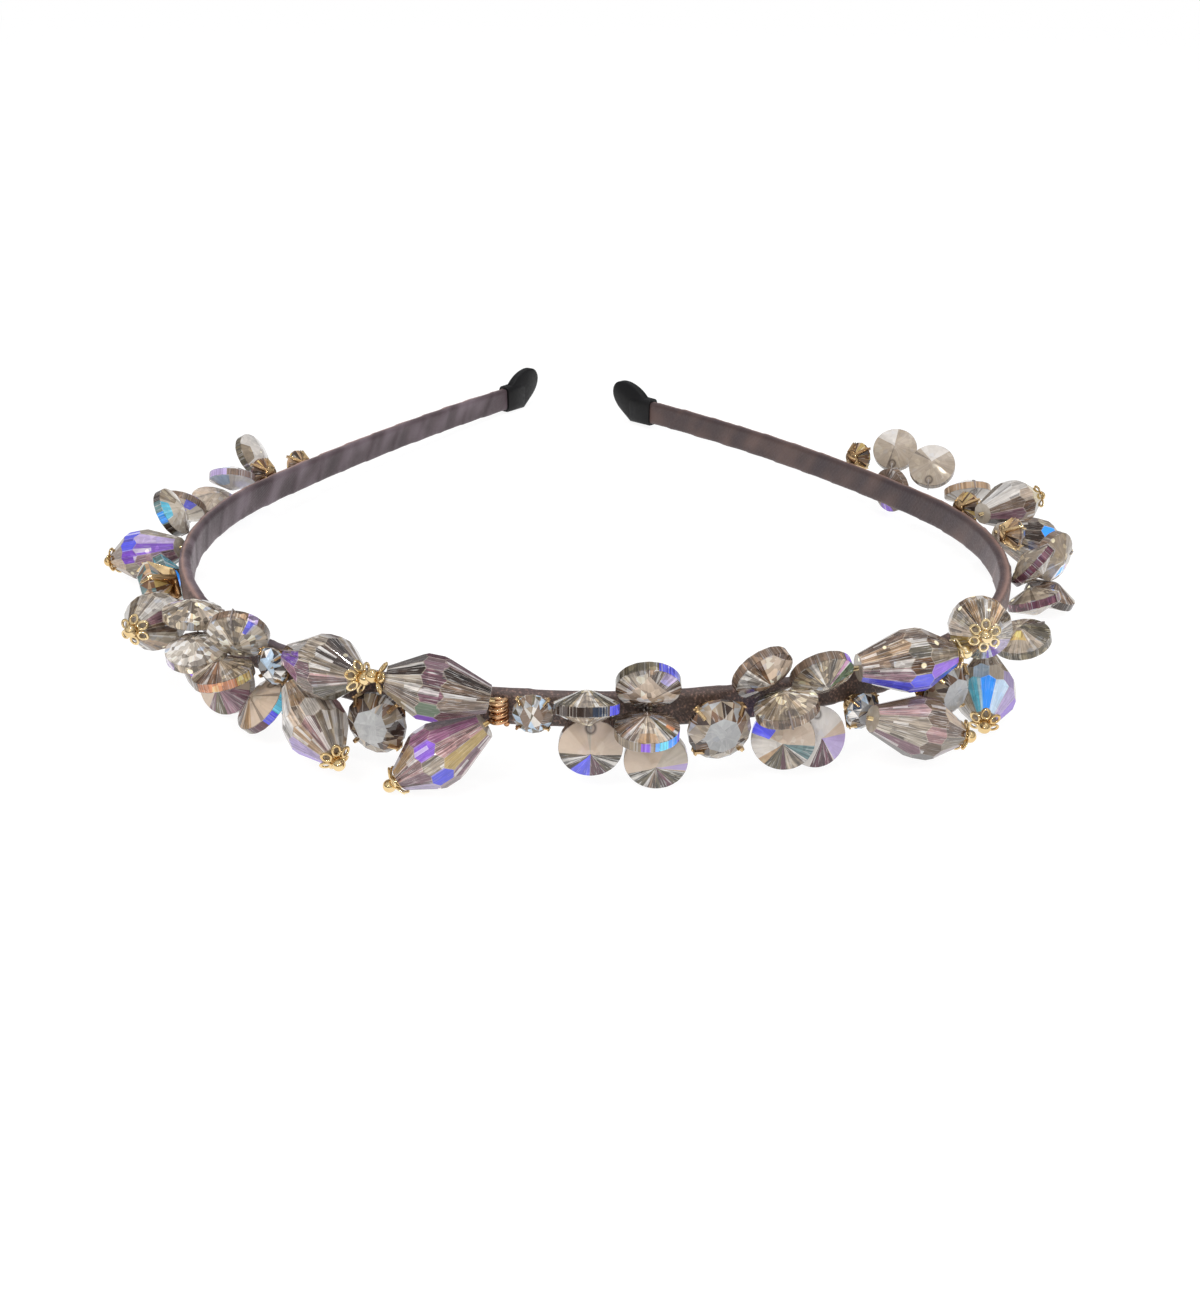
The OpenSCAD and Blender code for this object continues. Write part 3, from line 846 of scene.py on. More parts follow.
class Effects:
    """Shared effects as shader node groups, each built once."""

    def __init__(self) -> None:
        """Builds the groups."""
        self.shards = self._shards()
        self.grain = self._grain()

    def _shards(self) -> NodeTree:
        """Fine lines and broken reflections inside cut glass, on the piece's UV map.

        Returns:
            The group.
        """
        given = {"Lines": 30.0, "Stretch": 1.0, "Cells": 4.0}
        made = ("Line", "Shard", "Gleam", "Spark", "Glint")
        tree, start, out = new_group("glass_shards", given, made)
        place = tree.add("ShaderNodeUVMap", uv_map="facets").outputs[0]
        apart = tree.add("ShaderNodeSeparateXYZ", {0: place}).outputs
        across = tree.math("MULTIPLY", apart[0], start.outputs["Lines"])
        lengthwise = tree.math("MULTIPLY", apart[1], start.outputs["Stretch"])
        drawn = tree.add("ShaderNodeCombineXYZ", {0: across, 1: lengthwise}).outputs[0]
        lines = tree.noise(drawn, 1.0, 2.0, noise_dimensions="2D")
        values = {0: place, "Scale": start.outputs["Cells"]}
        cell_place = tree.add("ShaderNodeVectorMath", values, operation="SCALE").outputs[0]
        shard = tree.cells(cell_place, 1.0, voronoi_dimensions="2D").outputs["Color"]
        values = {0: tree.math("MULTIPLY", across, 2.2), 1: tree.math("MULTIPLY", lengthwise, 1.8)}
        thin = tree.add("ShaderNodeCombineXYZ", values).outputs[0]
        strokes = tree.noise(thin, 1.0, 1.0, noise_dimensions="2D")
        depth = tree.add("ShaderNodeTexCoord").outputs["Object"]
        spark = tree.cells(depth, 1300.0).outputs["Color"]
        spots = tree.cells(depth, 420.0).outputs
        core = tree.rescale(spots["Distance"], 0.13, 0.17, 1.0, 0.0)
        chosen = tree.rescale(tree.split(spots["Color"])[1], 0.6, 0.64, 0.0, 1.0)
        ends = {
            "Line": tree.rescale(lines, 0.36, 0.64, 0.0, 1.0),
            "Shard": tree.split(shard)[0],
            "Gleam": tree.rescale(strokes, 0.62, 0.68, 0.0, 1.0),
            "Spark": tree.split(spark)[0],
            "Glint": tree.math("MULTIPLY", core, chosen),
        }
        tree.feed(out, ends)
        return tree.nodes

    def _grain(self) -> NodeTree:
        """Soft grain in Object coordinates for cloth, rubber and metal.

        Returns:
            The group.
        """
        tree, start, out = new_group("soft_grain", {"Scale": 900.0, "Detail": 3.0}, ("Grain", "Cloud"))
        place = tree.add("ShaderNodeTexCoord").outputs["Object"]
        grain = tree.noise(place, start.outputs["Scale"], start.outputs["Detail"])
        wide = tree.math("MULTIPLY", start.outputs["Scale"], 0.12)
        tree.feed(out, {"Grain": grain, "Cloud": tree.noise(place, wide, 2.0)})
        return tree.nodes


def new_material(name: str) -> tuple[Material, Tree, Node]:
    """A node material with its Principled shader.

    Args:
        name: The material's name.

    Returns:
        The material, its tree and the shader node.
    """
    material = bpy.data.materials.new(name)
    material.use_nodes = True
    tree = Tree(material.node_tree)
    shader = material.node_tree.nodes["Principled BSDF"]
    return material, tree, shader


def use_group(tree: Tree, group: NodeTree, **values: float) -> Outputs:
    """Places a shared effect in a tree with its own values, and gives its outputs."""
    given = {name.capitalize(): value for name, value in values.items()}
    return tree.add("ShaderNodeGroup", given, node_tree=group).outputs


@dataclass(frozen=True)
class GlassFinish:
    """Cut glass: facet colours, inner lines, painted broken reflections, painted highlights, a painted glow
    and painted glints, and a hard gloss.
    """

    name: str
    lines: float
    stretch: float
    cells: float
    line_depth: float
    shard_depth: float
    transmission: float
    gleam: float = 0.6
    glint: float = 0.85
    ior: float = 1.7
    roughness: float = 0.035

    def build(self, effects: Effects) -> Material:
        """Makes the material.

        Args:
            effects: The shared effects.

        Returns:
            The material.
        """
        material, tree, shader = new_material(self.name)
        facet = tree.add("ShaderNodeAttribute", attribute_name="facet").outputs
        glow = tree.add("ShaderNodeAttribute", attribute_name="glow").outputs
        inner = use_group(tree, effects.shards, lines=self.lines, stretch=self.stretch, cells=self.cells)
        low, high = 1.0 - self.line_depth, 1.0 + 0.8 * self.line_depth
        line = tree.rescale(inner["Line"], 0.0, 1.0, low, high)
        fan = tree.math("MULTIPLY", facet["Alpha"], tree.math("SUBTRACT", line, 1.0))
        depth = tree.rescale(inner["Shard"], 0.0, 1.0, -self.shard_depth, self.shard_depth)
        shard = tree.math("MULTIPLY", facet["Alpha"], depth)
        level = tree.math("ADD", tree.math("ADD", fan, shard), 1.0)
        toned = tree.mix(1.0, facet["Color"], tree.grey(level), "MULTIPLY")
        # Painted highlights: thin white strokes where the facet is lined
        gleam = tree.math("MULTIPLY", inner["Gleam"], facet["Alpha"])
        toned = tree.mix(tree.math("MULTIPLY", gleam, self.gleam), toned, Film.WHITE.colour)
        toned = tree.mix(glow["Alpha"], toned, self.broken(tree, inner["Spark"], toned))
        # Painted glints: small round spots that glow where the stone sparkles
        strength = tree.rescale(glow["Alpha"], 0.15, 0.25, 0.0, self.glint)
        glint = tree.math("MULTIPLY", inner["Glint"], strength)
        # The emission is the facets' painted glow and the painted glints, not a lamp
        values = {
            "Base Color": self.drilled(tree, toned),
            "Emission Color": tree.mix(glint, glow["Color"], screen(255, 246, 208)),
            "Emission Strength": 1.0,
            "Roughness": self.roughness,
            "IOR": self.ior,
            "Transmission Weight": self.transmission,
        }
        tree.feed(shader, values)
        return material

    def broken(self, tree: Tree, source: object, toned: object) -> object:
        """Broken reflections: each cell is dark, plain, light, white or tinted.

        Args:
            tree: The material's tree.
            source: The cells' random value.
            toned: The plain colour.

        Returns:
            The colour with the cells on it.
        """
        stops = (
            (0.0, (0.3, 0.27, 0.24, 1)),
            (0.22, (0.7, 0.66, 0.6, 1)),
            (0.42, (1.0, 0.98, 0.95, 1)),
            (0.68, (1.35, 1.3, 1.24, 1)),
            (0.82, (2.1, 2.1, 1.9, 1)),
            (0.9, (0.9, 1.1, 1.5, 1)),
            (0.95, (3.2, 3.1, 2.7, 1)),
        )
        mixed = tree.mix(1.0, toned, tree.ramp(source, stops, "CONSTANT"), "MULTIPLY")
        mixed.node.clamp_result = True
        return mixed

    def drilled(self, tree: Tree, toned: object) -> object:
        """The drill hole, which the mesh does not have, painted as a ring of painted shade round a paler
        middle.

        Args:
            tree: The material's tree.
            toned: The colour without it.

        Returns:
            The colour with it.
        """
        plan = tree.add("ShaderNodeUVMap", uv_map="plan").outputs[0]
        reach = tree.add("ShaderNodeVectorMath", {0: plan}, operation="LENGTH").outputs["Value"]
        levels = ((0.0, 0.35), (0.035, 0.25), (0.055, 0.85), (0.085, 0.0))
        stops = tuple((at, (level, level, level, 1)) for at, level in levels)
        return tree.mix(tree.ramp(reach, stops), toned, Film.SMOKE.colour)


@dataclass(frozen=True)
class MetalFinish:
    """Polished metal with soft grain in its roughness and colour."""

    name: str
    bright: Colour
    deep: Colour
    roughness: float

    def build(self, effects: Effects) -> Material:
        """Makes the material.

        Args:
            effects: The shared effects.

        Returns:
            The material.
        """
        material, tree, shader = new_material(self.name)
        grain = use_group(tree, effects.grain, scale=1400.0)
        share = tree.rescale(grain["Cloud"], 0.35, 0.65, 0.0, 1.0)
        values = {
            "Base Color": tree.mix(share, self.bright, self.deep),
            "Roughness": tree.rescale(grain["Grain"], 0.3, 0.7, self.roughness, self.roughness + 0.16),
            "Metallic": 1.0,
            "Normal": tree.bump(grain["Grain"], 0.15, 0.00005),
        }
        tree.feed(shader, values)
        return material


@dataclass(frozen=True)
class RibbonFinish:
    """Satin ribbon: painted shade and painted sheen of its laps and folds from the piece's attribute, thread
    lines and sheen.
    """

    name: str = "satin_ribbon"
    body: Colour = screen(82, 68, 73)
    # Painted shade of the creases and folds, also the darker tone of the cloud and the thread lines
    fold: Colour = screen(56, 44, 48)
    # Painted sheen on the laps
    lit: Colour = screen(112, 99, 106)
    dusk: Colour = screen(92, 78, 72)
    # Light flecks of the weave, and the painted sheen where the band is warm
    fleck_and_warm_sheen: Colour = screen(186, 148, 134)
    warm: Colour = screen(74, 58, 55)

    def build(self, effects: Effects) -> Material:
        """Makes the material.

        Args:
            effects: The shared effects.

        Returns:
            The material.
        """
        material, tree, shader = new_material(self.name)
        lap = tree.add("ShaderNodeAttribute", attribute_name="lap").outputs
        shade, light, outer = tree.split(lap["Color"])
        grain = use_group(tree, effects.grain, scale=3000.0)
        place = tree.add("ShaderNodeUVMap", uv_map="ribbon").outputs[0]
        values = {"Scale": 16.0, "Distortion": 1.5, "Detail": 2.0, "Vector": place}
        wave = tree.add("ShaderNodeTexWave", values, wave_type="BANDS", bands_direction="DIAGONAL")
        threads = wave.outputs[1]
        cloud = tree.rescale(grain["Cloud"], 0.35, 0.65, 0.0, 0.45)
        base = tree.mix(cloud, tree.mix(lap["Alpha"], self.body, self.warm), self.fold)
        # Painted shade from the attribute's first channel and painted sheen from its second, both warmer
        # where its alpha is high
        base = tree.mix(shade, base, self.fold)
        base = tree.mix(light, base, tree.mix(lap["Alpha"], self.lit, self.fleck_and_warm_sheen))
        base = tree.mix(outer, base, self.dusk)
        base = tree.mix(tree.rescale(threads, 0.0, 1.0, 0.0, 0.16), base, self.fold)
        speck = tree.rescale(grain["Grain"], 0.54, 0.66, 0.0, 0.5)
        base = tree.mix(tree.math("MULTIPLY", speck, outer), base, self.fleck_and_warm_sheen)
        hollow = tree.rescale(grain["Grain"], 0.5, 0.38, 0.0, 0.8)
        base = tree.mix(tree.math("MULTIPLY", hollow, outer), base, Film.SMOKE.colour)
        height = tree.math("ADD", threads, grain["Grain"])
        values = {
            "Base Color": base,
            "Roughness": tree.rescale(grain["Grain"], 0.3, 0.7, 0.38, 0.58),
            "Sheen Weight": 0.2,
            "Sheen Roughness": 0.4,
            "Sheen Tint": screen(226, 206, 214),
            "Normal": tree.bump(height, 0.35, 0.00008),
        }
        tree.feed(shader, values)
        return material


@dataclass(frozen=True)
class TipFinish:
    """Black soft plastic with a fine grain."""

    name: str = "soft_tip"

    def build(self, effects: Effects) -> Material:
        """Makes the material.

        Args:
            effects: The shared effects.

        Returns:
            The material.
        """
        material, tree, shader = new_material(self.name)
        grain = use_group(tree, effects.grain, scale=1800.0)
        share = tree.rescale(grain["Cloud"], 0.3, 0.7, 0.0, 1.0)
        values = {
            "Base Color": tree.mix(share, screen(6, 6, 7), screen(16, 16, 18)),
            "Roughness": tree.rescale(grain["Grain"], 0.3, 0.7, 0.4, 0.56),
            "Specular IOR Level": 0.3,
            "Normal": tree.bump(grain["Grain"], 0.2, 0.00005),
        }
        tree.feed(shader, values)
        return material


@dataclass(frozen=True)
class ThreadFinish:
    """Clear nylon thread."""

    name: str = "nylon_thread"

    def build(self, effects: Effects) -> Material:
        """Makes the material.

        Args:
            effects: The shared effects.

        Returns:
            The material.
        """
        material, tree, shader = new_material(self.name)
        grain = use_group(tree, effects.grain, scale=600.0)
        share = tree.rescale(grain["Cloud"], 0.3, 0.7, 0.0, 1.0)
        values = {
            "Base Color": tree.mix(share, screen(214, 208, 204), screen(164, 152, 150)),
            "Roughness": 0.12,
            "Transmission Weight": 0.4,
        }
        tree.feed(shader, values)
        return material


# Mesh helpers


def add_piece(
    name: str,
    mesh: Mesh,
    material: Material,
    replaced: tuple[str, ...] = (),
    smooth: bool = False,
) -> bpy.types.Object:
    """Turns a bmesh in mm into a piece of the headband.

    Args:
        name: The piece's name.
        mesh: The bmesh, in the part's frame and in mm; it is freed.
        material: The piece's material.
        replaced: The CAD nodes that the piece stands for.
        smooth: Whether its faces are shaded smooth.

    Returns:
        The new object.
    """
    bmesh.ops.scale(mesh, vec=(MM, MM, MM), verts=mesh.verts)
    data = bpy.data.meshes.new(name)
    mesh.to_mesh(data)
    mesh.free()
    data.materials.append(material)
    data.polygons.foreach_set("use_smooth", [smooth] * len(data.polygons))
    piece = bpy.data.objects.new(name, data)
    bpy.context.scene.collection.objects.link(piece)
    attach(piece, BODY)
    if replaced:
        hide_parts(*replaced)
    LOG.info("%s: %d faces", name, len(data.polygons))
    return piece


def merge_into(whole: Mesh, part: Mesh, matrix: Matrix) -> None:
    """Adds a part to a larger bmesh, and frees the part.

    Args:
        whole: The larger bmesh.
        part: The part.
        matrix: Where the part goes.
    """
    move(part, matrix)
    held = bpy.data.meshes.new("held")
    part.to_mesh(held)
    part.free()
    whole.from_mesh(held)
    bpy.data.meshes.remove(held)


def hull_of_rings(rings: tuple[tuple[int, float, float, float], ...]) -> Mesh:
    """Cut stone: the flat facets that span its rings of corners.

    Args:
        rings: Sides, radius, height and turn in degrees of each ring.

    Returns:
        A closed bmesh with one face for each facet.
    """
    mesh = bmesh.new()
    for sides, radius, height, turn in rings:
        matrix = lift(height) @ turn_by(turn, "Z")
        bmesh.ops.create_circle(mesh, segments=sides, radius=radius, matrix=matrix)
    span(mesh)
    return mesh


def span(mesh: Mesh) -> None:
    """Spans the corners of a bmesh with their convex hull, one face for each facet.

    Args:
        mesh: The bmesh, which holds only its corners and rings.
    """
    loose = list(mesh.edges)
    bmesh.ops.convex_hull(mesh, input=mesh.verts, use_existing_faces=False)
    spare = [e for e in loose if e.is_valid and not e.link_faces]
    bmesh.ops.delete(mesh, geom=spare, context="EDGES")
    inner = [v for v in mesh.verts if not v.link_faces]
    bmesh.ops.delete(mesh, geom=inner, context="VERTS")
    bmesh.ops.dissolve_limit(mesh, angle_limit=math.radians(1.0), verts=mesh.verts, edges=mesh.edges)
    face_out(mesh)


def part_by(mesh: Mesh, point: Vector, out: Vector) -> None:
    """Parts every face that a plane crosses, so that each side can have its own colour.

    Args:
        mesh: The bmesh.
        point: A point on the plane.
        out: The plane's normal.
    """
    bmesh.ops.bisect_plane(
        mesh,
        geom=list(mesh.verts) + list(mesh.edges) + list(mesh.faces),
        dist=1e-5,
        plane_co=point,
        plane_no=out,
    )


@dataclass
class StonePaint:
    """Writes a stone's facet colour, glow, sparkle and pattern places."""

    mesh: Mesh

    def __post_init__(self) -> None:
        """Adds the layers."""
        self.facet = self.mesh.loops.layers.float_color.new("facet")
        self.glow = self.mesh.loops.layers.float_color.new("glow")
        self.uv = self.mesh.loops.layers.uv.new("facets")
        self.plan = self.mesh.loops.layers.uv.new("plan")

    def ordered(self) -> list[bmesh.types.BMFace]:
        """The faces in an order that is the same each run."""
        return sorted(self.mesh.faces, key=lambda f: tuple(round(c, 3) for c in f.calc_center_median()))

    def loop(
        self,
        loop: bmesh.types.BMLoop,
        body: Colour,
        lines: float,
        lit: Colour,
        spark: float,
        place: tuple[float, float],
        plan: tuple[float, float] = (9.0, 9.0),
    ) -> None:
        """Writes one corner of a face.

        Args:
            loop: The corner.
            body: The facet's colour.
            lines: How strongly the inner lines show.
            lit: Colour of its painted glow.
            spark: How strongly the broken reflections show.
            place: Where the corner lies in the pattern of lines.
            plan: Where it lies from the drill hole, in cm.
        """
        loop[self.facet] = (body[0], body[1], body[2], lines)
        loop[self.glow] = (lit[0], lit[1], lit[2], spark)
        loop[self.uv].uv = place
        loop[self.plan].uv = plan


def degrees_apart(first: float, second: float) -> float:
    """Smallest angle between two directions round a circle."""
    return abs((first - second + 180) % 360 - 180)


def chamfer(mesh: Mesh, width: float) -> None:
    """Breaks the edges between facets by a narrow chamfer."""
    edges = [e for e in mesh.edges if e.is_manifold and e.calc_face_angle(0) > math.radians(6)]
    round_edges(mesh, edges, width, 1)


def round_edges(
    mesh: Mesh, edges: list[bmesh.types.BMEdge], width: float, segments: int
) -> None:
    """Bevels edges.

    Args:
        mesh: The bmesh.
        edges: Its edges to bevel.
        width: Width of the bevel.
        segments: Steps across it.
    """
    bmesh.ops.bevel(
        mesh,
        geom=edges,
        offset=width,
        segments=segments,
        profile=0.5,
        affect="EDGES",
        material=-1,
        clamp_overlap=True,
    )


def face_out(mesh: Mesh) -> None:
    """Turns every face of a closed bmesh outwards."""
    bmesh.ops.recalc_face_normals(mesh, faces=mesh.faces)


def close_ends(mesh: Mesh, sides: int) -> None:
    """Closes the open ends of a swept bmesh."""
    bmesh.ops.holes_fill(mesh, edges=[e for e in mesh.edges if e.is_boundary], sides=sides)


def hump(value: float, middle: float, half: float) -> float:
    """Rises from 0 to 1 at the middle and falls back to 0, half on either side."""
    return max(0.0, 1 - abs(value - middle) / half)


def share_of(value: float) -> float:
    """A value kept from 0 to 1."""
    return min(1.0, max(0.0, value))


def add_rod(
    mesh: Mesh, sides: int, low: float, high: float, depth: float, matrix: Matrix
) -> None:
    """Adds a closed rod or cone along Z.

    Args:
        mesh: The bmesh it is added to.
        sides: Sides round it.
        low: Radius of its lower end.
        high: Radius of its upper end.
        depth: Its length.
        matrix: Its place, by its middle.
    """
    bmesh.ops.create_cone(
        mesh, cap_ends=True, segments=sides, radius1=low, radius2=high, depth=depth, matrix=matrix
    )


def spun_wire(
    radius: float, wire: float, sides: int, steps: int, turns: int = 1, climb: float = 0.0
) -> Mesh:
    """Round wire spun about Z into a closed ring, or into an open coil if it climbs.

    Args:
        radius: Radius of the turns.
        wire: Radius of the wire.
        sides: Sides round the wire.
        steps: Steps in a turn.
        turns: Number of turns.
        climb: Height of a turn.

    Returns:
        The bmesh, half of its turns above the origin and half below.
    """
    mesh = bmesh.new()
    start = Matrix.Translation((radius, 0, 0.0 - turns * climb / 2)) @ Matrix.Rotation(math.pi / 2, 4, "X")
    bmesh.ops.create_circle(mesh, segments=sides, radius=wire, matrix=start)
    bmesh.ops.spin(
        mesh,
        geom=list(mesh.verts) + list(mesh.edges),
        cent=(0, 0, 0),
        axis=(0, 0, 1),
        dvec=(0, 0, climb / steps),
        angle=math.tau * turns,
        steps=steps * turns,
        use_merge=climb == 0,
        use_duplicate=False,
    )
    return mesh


def breadth(face: bmesh.types.BMFace) -> float:
    """How broad a face is: twice its area over the length of its outline."""
    return 2 * face.calc_area() / sum(e.calc_length() for e in face.edges)


def angle_of(way: Vector) -> float:
    """Angle of a place or a way round a stone's axis, in degrees."""
    return math.degrees(math.atan2(way.y, way.x))


def angle_from(around: float, corner: Vector, least: float) -> float:
    """Angle of a corner, counted on from the angle of its face.

    Args:
        around: The face's angle in degrees.
        corner: The corner's place.
        least: Distance from the axis within which a corner takes the face's own angle.

    Returns:
        The angle in degrees, less than half a turn from the face's.
    """
    here = angle_of(corner) if corner.xy.length > least else around
    return around + (here - around + 180) % 360 - 180


# Pieces


@dataclass
class WrappedBand:
    """The strip with its ribbon: a swept section with laps and folds, in mm.

    The laps rise over their length and fall again over lap_fall of it. top_from is the height above
    which a place counts as the top, and the reaches are distances along the band within which the
    front and the arms have their own tint and painted highlight.
    """

    height: float = 4.65
    thickness: float = 1.86
    corner: float = 0.6
    around: int = 32
    step: float = 0.45
    lap_pitch: float = 7.6
    lap_rise: float = 0.13
    lap_fall: float = 0.14
    sway: float = 0.25
    fold_rise: float = 0.07
    fine_rise: float = 0.03
    sink: float = 0.05
    top_from: float = 1.9
    front_reach: float = 40.0
    arm_from: float = 50.0
    dusk_reach: float = 112.0
    right_light: float = 0.12

    def section(self, angle: float) -> tuple[float, float]:
        """A place on the rounded section.

        Args:
            angle: How far round the section it lies, in radians.

        Returns:
            Out and up from the section's middle.
        """
        half_t, half_h = self.thickness / 2 - self.corner, self.height / 2 - self.corner
        share = angle / (2 * math.pi)
        straight_h, straight_t, turn = 2 * half_h, 2 * half_t, math.pi / 2 * self.corner
        length = 2 * (straight_h + straight_t) + 4 * turn
        at = (share * length) % length
        at -= straight_h / 2
        if at < 0:
            return self.thickness / 2, at + straight_h / 2
        corners = (
            (half_t, half_h, 0, straight_t),
            (-half_t, half_h, 90, straight_h),
            (-half_t, -half_h, 180, straight_t),
            (half_t, -half_h, 270, straight_h),
        )
        for cx, cz, start, run in corners:
            if at <= turn:
                a = math.radians(start) + at / self.corner
                return cx + self.corner * math.cos(a), cz + self.corner * math.sin(a)
            at -= turn
            if at <= run:
                a = math.radians(start + 90)
                ux, uz = -math.sin(a), math.cos(a)
                x0, z0 = cx + self.corner * math.cos(a), cz + self.corner * math.sin(a)
                return x0 + ux * at, z0 + uz * at
            at -= run
        return self.thickness / 2, 0.0

    def sweep(self) -> Mesh:
        """Spins the section along every arc, from the left end to the right one.

        Returns:
            The strip, in the band's own frame.
        """
        mesh = bmesh.new()
        ring = bmesh.ops.create_circle(mesh, segments=self.around, radius=1)["verts"]
        x, y, heading = PLAN.walk(PLAN.left, sum(a.length for a in PLAN.left))
        start = Matrix.Translation((-x, y, 0)) @ turn_by(-heading, "Z")
        for index, vert in enumerate(ring):
            out, up = self.section(2 * math.pi * index / self.around)
            vert.co = start @ Vector((0, -out, up))
        geom = list(mesh.verts) + list(mesh.edges)
        for arcs, side in ((PLAN.left, -1), (PLAN.right, 1)):
            for index in range(len(arcs))[::side]:
                arc = arcs[index]
                (x, y), _ = PLAN.centre(arcs, sum(a.length for a in arcs[:index]), arc.radius)
                made = bmesh.ops.spin(
                    mesh,
                    geom=geom,
                    cent=(side * x, y, 0),
                    axis=(0, 0, 1),
                    dvec=(0, 0, 0),
                    angle=math.radians(arc.angle),
                    steps=max(2, round(arc.length / self.step)),
                    use_merge=False,
                    use_normal_flip=False,
                    use_duplicate=False,
                )
                geom = made["geom_last"]
        close_ends(mesh, self.around)
        face_out(mesh)
        return mesh

    def along_of(self, point: Vector) -> tuple[float, float]:
        """How a point in the band's own frame lies to the band.

        Args:
            point: The point.

        Returns:
            Its distance along the band and out of it.
        """
        side = -1 if point.x < 0 else 1
        best = (math.inf, 0.0, 0.0)
        before = 0.0
        arcs = PLAN.left if side < 0 else PLAN.right
        for arc in arcs:
            (cx, cy), heading = PLAN.centre(arcs, before, arc.radius)
            turned = math.degrees(math.atan2(abs(point.x) - cx, cy - point.y))
            off = math.hypot(abs(point.x) - cx, point.y - cy) - arc.radius
            past = max(0.0, heading - turned, turned - heading - arc.angle)
            if abs(off) + past * 2 < best[0]:
                best = (abs(off) + past * 2, before + math.radians(turned - heading) * arc.radius, off)
            before += arc.length
        return side * best[1], best[2]

    def drape(self, vert: bmesh.types.BMVert) -> tuple[Vector, Colour, float, float]:
        """How the ribbon lies at one corner of the strip.

        Args:
            vert: The corner, with its normal.

        Returns:
            Its new place, its painted shade, painted light, dusk and warmth, its distance along the band,
            and its angle round the section in turns.
        """
        along, out = self.along_of(vert.co)
        up = vert.co.z
        angle = math.atan2(up / self.height, out / self.thickness) / math.tau
        skew = 0.22 * math.sin(math.tau * angle) + 0.08 * math.cos(math.tau * angle)
        sway = self.sway * noise.noise(Vector((along * 0.11, 3.1, 0.0)))
        phase = along / self.lap_pitch + skew + sway
        share = phase - math.floor(phase)
        rising = share < 1 - self.lap_fall
        rise = self.lap_rise * (share ** 1.5) if rising else self.lap_rise * (1 - share) / self.lap_fall
        fold = noise.noise(Vector((along * 0.26 + skew * 2, up * 0.2, out * 0.3)))
        fine = noise.noise(Vector((along * 1.1 + skew * 7, up * 0.3, out * 0.4)))
        push = rise + self.fold_rise * fold + self.fine_rise * fine - self.sink
        # Painted shade: darker in the crease where each lap falls, where the fine folds dip and in the
        # hollows of the large folds
        crease_shade = hump(share, 0.96, 0.08) * 0.4
        # Painted sheen: lighter near the high end of each lap and on the raised folds
        lit = hump(share, 0.8, 0.16) * 0.2 + max(0.0, fold * 1.9 - 0.05) * 0.8
        shade = crease_shade + max(0.0, -fine * 1.2 - 0.15) * 0.25 + max(0.0, -fold * 1.8) * 0.9
        outer = share_of((out - 0.2) / 0.7) if abs(along) < self.dusk_reach else 0.0
        top = up > self.top_from
        outer = max(outer, 0.75 if abs(along) < self.front_reach and top else 0.0)
        # Painted highlight along the top edge of the arms, which also warms the colour there; the painted
        # sheen is weaker on the right side
        edge = hump(out, 0.35, 0.5) if top and abs(along) > self.arm_from else 0.0
        lit = lit * (1.0 if along < 0 else self.right_light) + 0.7 * edge
        warm = max(edge, share_of(along / 40))
        colour = (min(0.9, shade), min(0.9, lit), outer * 0.9, warm)
        return vert.co + vert.normal * push, colour, along, angle

    def build(self, material: Material) -> None:
        """Makes the wrapped band with its laps, folds, colours, painted shade and painted highlights.

        Args:
            material: The ribbon's material.
        """
        mesh = self.sweep()
        lap_layer = mesh.loops.layers.float_color.new("lap")
        uv_layer = mesh.loops.layers.uv.new("ribbon")
        mesh.normal_update()
        mesh.verts.index_update()
        draped = [self.drape(vert) for vert in mesh.verts]
        for face in mesh.faces:
            held = [draped[loop.vert.index] for loop in face.loops]
            angles = [angle for _, _, _, angle in held]
            wraps = max(angles) - min(angles) > 0.5
            for loop, (_, colour, along, angle) in zip(face.loops, held):
                loop[lap_layer] = colour
                loop[uv_layer].uv = (along / 10, angle + (1.0 if wraps and angle < 0 else 0.0))
        for vert, (place, _, _, _) in zip(mesh.verts, draped):
            vert.co = place
        move(mesh, PLAN.at_rest())
        add_piece("ribbon_band", mesh, material, ("wrapped_band",), smooth=True)


